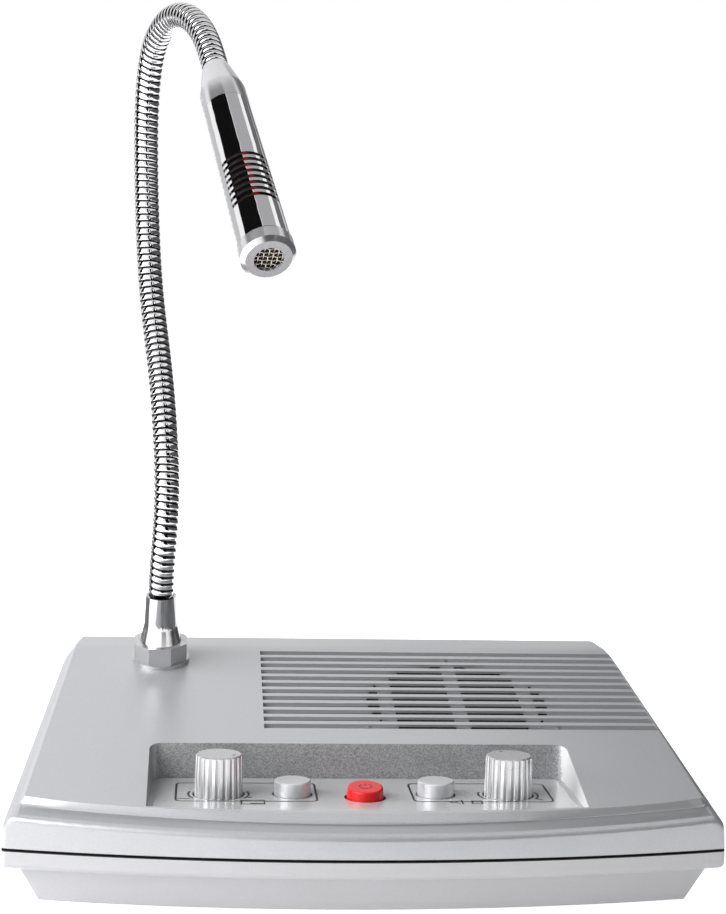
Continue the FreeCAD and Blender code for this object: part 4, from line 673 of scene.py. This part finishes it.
def hose_tree():
    """The wound tube: a round profile swept along a line, with a helical groove pressed in."""
    tree = bpy.data.node_groups.new("wound_tube", "GeometryNodeTree")
    for name, kind in (("Line", "NodeSocketGeometry"), ("Radius", "NodeSocketFloat"),
                       ("Pitch", "NodeSocketFloat"), ("Depth", "NodeSocketFloat")):
        tree.interface.new_socket(name, in_out="INPUT", socket_type=kind)
    tree.interface.new_socket("Tube", in_out="OUTPUT", socket_type="NodeSocketGeometry")
    given = tree.nodes.new("NodeGroupInput")
    step = add(tree, "ShaderNodeMath", {"operation": "DIVIDE"},
               _0=given.outputs["Pitch"], _1=POINTS_PER_RIB)
    line = add(tree, "GeometryNodeMeshToCurve", Mesh=given.outputs["Line"])
    even = add(tree, "GeometryNodeResampleCurve", Curve=line.outputs[0])
    even.mode = "LENGTH"
    tree.links.new(step.outputs[0], even.inputs["Length"])
    along = add(tree, "GeometryNodeSplineParameter")
    kept = add(tree, "GeometryNodeCaptureAttribute", {"domain": "POINT"}, Geometry=even.outputs[0])
    kept.capture_items.new("FLOAT", "Along")
    tree.links.new(along.outputs["Length"], kept.inputs["Along"])
    ring = add(tree, "GeometryNodeCurvePrimitiveCircle", Resolution=RING_POINTS,
               Radius=given.outputs["Radius"])
    around = add(tree, "GeometryNodeSplineParameter")
    marked = add(tree, "GeometryNodeCaptureAttribute", {"domain": "POINT"}, Geometry=ring.outputs[0])
    marked.capture_items.new("FLOAT", "Around")
    tree.links.new(around.outputs["Factor"], marked.inputs["Around"])
    swept = add(tree, "GeometryNodeCurveToMesh", Curve=kept.outputs[0], Profile_Curve=marked.outputs[0])
    turns = add(tree, "ShaderNodeMath", {"operation": "DIVIDE"}, _0=kept.outputs["Along"],
                _1=given.outputs["Pitch"])
    phase = add(tree, "ShaderNodeMath", {"operation": "ADD"},
                _0=turns.outputs[0], _1=marked.outputs["Around"])
    part = add(tree, "ShaderNodeMath", {"operation": "FRACT"}, _0=phase.outputs[0])
    centred = add(tree, "ShaderNodeMath", {"operation": "MULTIPLY_ADD"}, _0=part.outputs[0], _1=2.0, _2=-1.0)
    squared = add(tree, "ShaderNodeMath", {"operation": "POWER"}, _0=centred.outputs[0], _1=2.0)
    steep = add(tree, "ShaderNodeMath", {"operation": "POWER"}, _0=squared.outputs[0], _1=GROOVE_POWER / 2)
    pressed = add(tree, "ShaderNodeMath", {"operation": "MULTIPLY"},
                  _0=steep.outputs[0], _1=given.outputs["Depth"])
    inward = add(tree, "ShaderNodeMath", {"operation": "MULTIPLY"}, _0=pressed.outputs[0], _1=-1.0)
    outward = add(tree, "GeometryNodeInputNormal")
    shift = add(tree, "ShaderNodeVectorMath", {"operation": "SCALE"},
                _0=outward.outputs[0], Scale=inward.outputs[0])
    shaped = add(tree, "GeometryNodeSetPosition", Geometry=swept.outputs[0], Offset=shift.outputs[0])
    result = tree.nodes.new("NodeGroupOutput")
    tree.links.new(shaped.outputs[0], result.inputs["Tube"])
    return tree


def grown(name, mesh, tree, values):
    """The plain mesh that a node tree makes from a mesh, as a new object."""
    seed = bpy.data.objects.new(name + "_seed", mesh)
    scene.collection.objects.link(seed)
    grower = seed.modifiers.new("grow", "NODES")
    grower.node_group = tree
    for item in tree.interface.items_tree:
        if item.in_out == "INPUT" and item.name in values:
            grower[item.identifier] = values[item.name]
    bpy.context.view_layer.update()
    made = bpy.data.meshes.new_from_object(seed.evaluated_get(bpy.context.evaluated_depsgraph_get()))
    bpy.data.objects.remove(seed)
    piece = bpy.data.objects.new(name, made)
    scene.collection.objects.link(piece)
    return piece


line_mesh = bpy.data.meshes.new("neck_line")
line_mesh.from_pydata([Vector(place) for place in neck_line],
                      [(k, k + 1) for k in range(len(neck_line) - 1)], [])
whole = grown("gooseneck", line_mesh, hose_tree(),
              {"Radius": NECK_RADIUS, "Pitch": RIB_PITCH, "Depth": RIB_DEPTH})
whole_mesh = whole.data
# Painted shade: the chrome turns near black in the helical groove between the turns of wire.
DARK_FROM = 0.26
DARK_TO = 0.5
DARK_SHADE = 0.02
hose_chrome = finish("hose_chrome", (0.76, 0.76, 0.775), 0.07, 1.0, (400.0, 0.02), spread=0.03)
depth = add(hose_chrome.node_tree, "ShaderNodeAttribute", {"attribute_name": "groove"})
dark = add(hose_chrome.node_tree, "ShaderNodeMapRange", Value=depth.outputs["Fac"],
           From_Min=DARK_FROM, From_Max=DARK_TO, To_Min=1.0, To_Max=DARK_SHADE)
shade(hose_chrome, dark.outputs["Result"])
tube_places = np.zeros(len(whole_mesh.vertices) * 3)
whole_mesh.vertices.foreach_get("co", tube_places)
tube_places = tube_places.reshape(-1, 3)
tube_normals = np.array([tuple(vertex.vector) for vertex in whole_mesh.vertex_normals])
RINGS = len(tube_places) // RING_POINTS
ring_reach = np.linspace(0, neck_reach[-1], RINGS)
turn_phase = (ring_reach[:, None] / RIB_PITCH + np.arange(RING_POINTS) / RING_POINTS) % 1
groove = np.abs(2 * turn_phase.ravel() - 1) ** GROOVE_POWER

LENGTHS = 7
section_length = neck_reach[-1] / (LENGTHS - 1)
for i in range(LENGTHS):
    joint = section_length * i
    first = int(np.searchsorted(ring_reach, joint - section_length / 2))
    last = min(int(np.searchsorted(ring_reach, joint + section_length / 2)), RINGS - 1)
    kept = slice(first * RING_POINTS, (last + 1) * RING_POINTS)
    faces = [(r * RING_POINTS + k, r * RING_POINTS + (k + 1) % RING_POINTS,
              (r + 1) * RING_POINTS + (k + 1) % RING_POINTS, (r + 1) * RING_POINTS + k)
             for r in range(last - first) for k in range(RING_POINTS)]
    length = bpy.data.meshes.new("gooseneck_%d" % (i + 1))
    length.from_pydata(tube_places[kept].tolist(), [], faces)
    length.polygons.foreach_set("use_smooth", [True] * len(faces))
    length.normals_split_custom_set_from_vertices(tube_normals[kept].tolist())
    length.attributes.new("groove", "FLOAT", "POINT").data.foreach_set("value", groove[kept])
    length.materials.append(hose_chrome)
    tube = bpy.data.objects.new("gooseneck_%d" % (i + 1), length)
    scene.collection.objects.link(tube)
    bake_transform(tube)
    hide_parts("neck_link_%d" % min(i + 1, 6))
bpy.data.objects.remove(whole)

# ---------------------------------------------------------------- microphone
# A chromed barrel: a tapering adapter, a body with slots round its front, a lamp ring inside
# them, and an end cap that holds a disc of woven wire over the capsule.
MIC_JOINT = Vector(JOINTS["microphone_tilt"]["pos_m"])
# The lamp ring is near black, with a painted red glow in a narrow band through its middle.
LAMP_GLOW = (0.30, 0.008, 0.010, 1)
LAMP_SHIFT = -0.8 * MM
LAMP_HALF = 1.2 * MM
MIX_FIRST, MIX_SECOND = 6, 7
lamp_red = finish("lamp_red", (0.012, 0.006, 0.006), 0.5, 0.0, (2500.0, 0.2), 0.1)
tree = lamp_red.node_tree
where = add(tree, "ShaderNodeTexCoord")
across = add(tree, "ShaderNodeVectorMath", {"operation": "DOT_PRODUCT"},
             _0=where.outputs["Object"], _1=MICROPHONE_ACROSS)
middle = MICROPHONE_ACROSS.dot(MIC_JOINT) + LAMP_SHIFT
apart = add(tree, "ShaderNodeMath", {"operation": "SUBTRACT"}, _0=across.outputs["Value"], _1=middle)
off = add(tree, "ShaderNodeMath", {"operation": "ABSOLUTE"}, _0=apart.outputs[0])
glow = add(tree, "ShaderNodeMapRange", Value=off.outputs[0], From_Min=0.0, From_Max=LAMP_HALF,
           To_Min=1.0, To_Max=0.0)
painted_glow_band = add(tree, "ShaderNodeMix", {"data_type": "RGBA"}, Factor=glow.outputs["Result"])
painted_glow_band.inputs[MIX_SECOND].default_value = LAMP_GLOW
tree.links.new(node_of(lamp_red, "GROUP").outputs["Color"], painted_glow_band.inputs[MIX_FIRST])
tree.links.new(painted_glow_band.outputs[2], node_of(lamp_red, "BSDF_PRINCIPLED").inputs["Base Color"])
wire_steel = finish("wire_steel", (0.55, 0.52, 0.45), 0.35, 1.0)
capsule_dark = finish("capsule_dark", (0.02, 0.02, 0.02), 0.8, 0.0, (2500.0, 0.5), 0.3)
SEAM_LOW = 75.8 * MM
SEAM_HIGH = 76.85 * MM
satin = finish("satin_chrome", (0.64, 0.64, 0.655), 0.2, 0.85, (3000.0, 0.03), spread=0.04)
for node, look in (("mic_adapter", satin), ("mic_body", chrome), ("mic_end_cap", satin)):
    shell = smooth_copy(node, look, sharp=40.0)
    # Painted shade in the seam between the end cap and the body.
    if node == "mic_end_cap":
        in_second_look(shell, slot_shade, lambda place, facing:
                       SEAM_LOW < (place - MIC_JOINT).dot(MICROPHONE_AXIS) < SEAM_HIGH)
    if node == "mic_adapter":
        shell.modifiers.remove(shell.modifiers["even_normals"])
smooth_copy("mic_lamp", lamp_red)
smooth_copy("mic_capsule", capsule_dark)

mic_frame = Matrix((MICROPHONE_ACROSS, MICROPHONE_AXIS.cross(MICROPHONE_ACROSS),
                    MICROPHONE_AXIS)).transposed().to_4x4()
MESH_LEVEL = 80.2 * MM
MESH_RADIUS = 4.6 * MM
MESH_PITCH = 1.30 * MM
MESH_WIRE = 0.19 * MM
MESH_WAVE = 0.15 * MM
WIRE_POINTS = 90
WIRE_SIDES = 6


def woven_tree():
    """Crossing wires that pass over and under each other, cut to a disc."""
    tree = bpy.data.node_groups.new("woven_wire", "GeometryNodeTree")
    for name, kind in (("Seed", "NodeSocketGeometry"), ("Radius", "NodeSocketFloat"),
                       ("Pitch", "NodeSocketFloat"), ("Wire", "NodeSocketFloat"),
                       ("Wave", "NodeSocketFloat"), ("Finish", "NodeSocketMaterial")):
        tree.interface.new_socket(name, in_out="INPUT", socket_type=kind)
    tree.interface.new_socket("Disc", in_out="OUTPUT", socket_type="NodeSocketGeometry")
    given = tree.nodes.new("NodeGroupInput")

    def maths(kind, first, second=0.0):
        return add(tree, "ShaderNodeMath", {"operation": kind}, _0=first, _1=second).outputs[0]

    half_count = maths("CEIL", maths("DIVIDE", given.outputs["Radius"], given.outputs["Pitch"]))
    reach = maths("MULTIPLY", half_count, given.outputs["Pitch"])
    low = add(tree, "ShaderNodeCombineXYZ", X=maths("MULTIPLY", reach, -1.0))
    high = add(tree, "ShaderNodeCombineXYZ", X=reach)
    side = add(tree, "ShaderNodeCombineXYZ", Y=maths("MULTIPLY", reach, -1.0))
    step = add(tree, "ShaderNodeCombineXYZ", Y=given.outputs["Pitch"])
    wire = add(tree, "GeometryNodeCurvePrimitiveLine", Start=low.outputs[0], End=high.outputs[0])
    fine = add(tree, "GeometryNodeResampleCurve", Curve=wire.outputs[0], Count=WIRE_POINTS)
    rows = add(tree, "GeometryNodeMeshLine", Count=maths("ADD", maths("MULTIPLY", half_count, 2.0), 1.0),
               Start_Location=side.outputs[0], Offset=step.outputs[0])
    laid = add(tree, "GeometryNodeInstanceOnPoints", Points=rows.outputs[0], Instance=fine.outputs[0])
    loose = add(tree, "GeometryNodeRealizeInstances", Geometry=laid.outputs[0])
    here = add(tree, "GeometryNodeInputPosition")
    spot = add(tree, "ShaderNodeSeparateXYZ", Vector=here.outputs[0])
    waves = [maths("COSINE", maths("MULTIPLY", maths("DIVIDE", spot.outputs[k], given.outputs["Pitch"]),
                                   math.pi)) for k in (0, 1)]
    rise = add(tree, "ShaderNodeCombineXYZ",
               Z=maths("MULTIPLY", maths("MULTIPLY", waves[0], waves[1]), given.outputs["Wave"]))
    warp = add(tree, "GeometryNodeSetPosition", Geometry=loose.outputs[0], Offset=rise.outputs[0])
    weft = add(tree, "GeometryNodeTransform", Geometry=warp.outputs[0], Rotation=(0, 0, math.pi / 2),
               Scale=(1, 1, -1))
    both = add(tree, "GeometryNodeJoinGeometry")
    tree.links.new(warp.outputs[0], both.inputs[0])
    tree.links.new(weft.outputs[0], both.inputs[0])
    far = add(tree, "ShaderNodeVectorMath", {"operation": "LENGTH"}, _0=here.outputs[0])
    outside = add(tree, "FunctionNodeCompare", {"data_type": "FLOAT", "operation": "GREATER_THAN"},
                  _0=far.outputs["Value"], _1=given.outputs["Radius"])
    cut = add(tree, "GeometryNodeDeleteGeometry", {"domain": "POINT"}, Geometry=both.outputs[0],
              Selection=outside.outputs[0])
    section = add(tree, "GeometryNodeCurvePrimitiveCircle", Resolution=WIRE_SIDES,
                  Radius=given.outputs["Wire"])
    drawn = add(tree, "GeometryNodeCurveToMesh", Curve=cut.outputs[0], Profile_Curve=section.outputs[0],
                Fill_Caps=True)
    look = add(tree, "GeometryNodeSetMaterial", Geometry=drawn.outputs[0], Material=given.outputs["Finish"])
    result = tree.nodes.new("NodeGroupOutput")
    tree.links.new(look.outputs[0], result.inputs["Disc"])
    return tree


woven = grown("mic_woven_disc", bpy.data.meshes.new("disc_seed"), woven_tree(),
              {"Radius": MESH_RADIUS, "Pitch": MESH_PITCH, "Wire": MESH_WIRE, "Wave": MESH_WAVE,
               "Finish": wire_steel})
woven.data.transform(Matrix.Translation(MIC_JOINT) @ mic_frame @ Matrix.Translation((0, 0, MESH_LEVEL)))
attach(woven, "microphone")
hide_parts("mic_mesh")
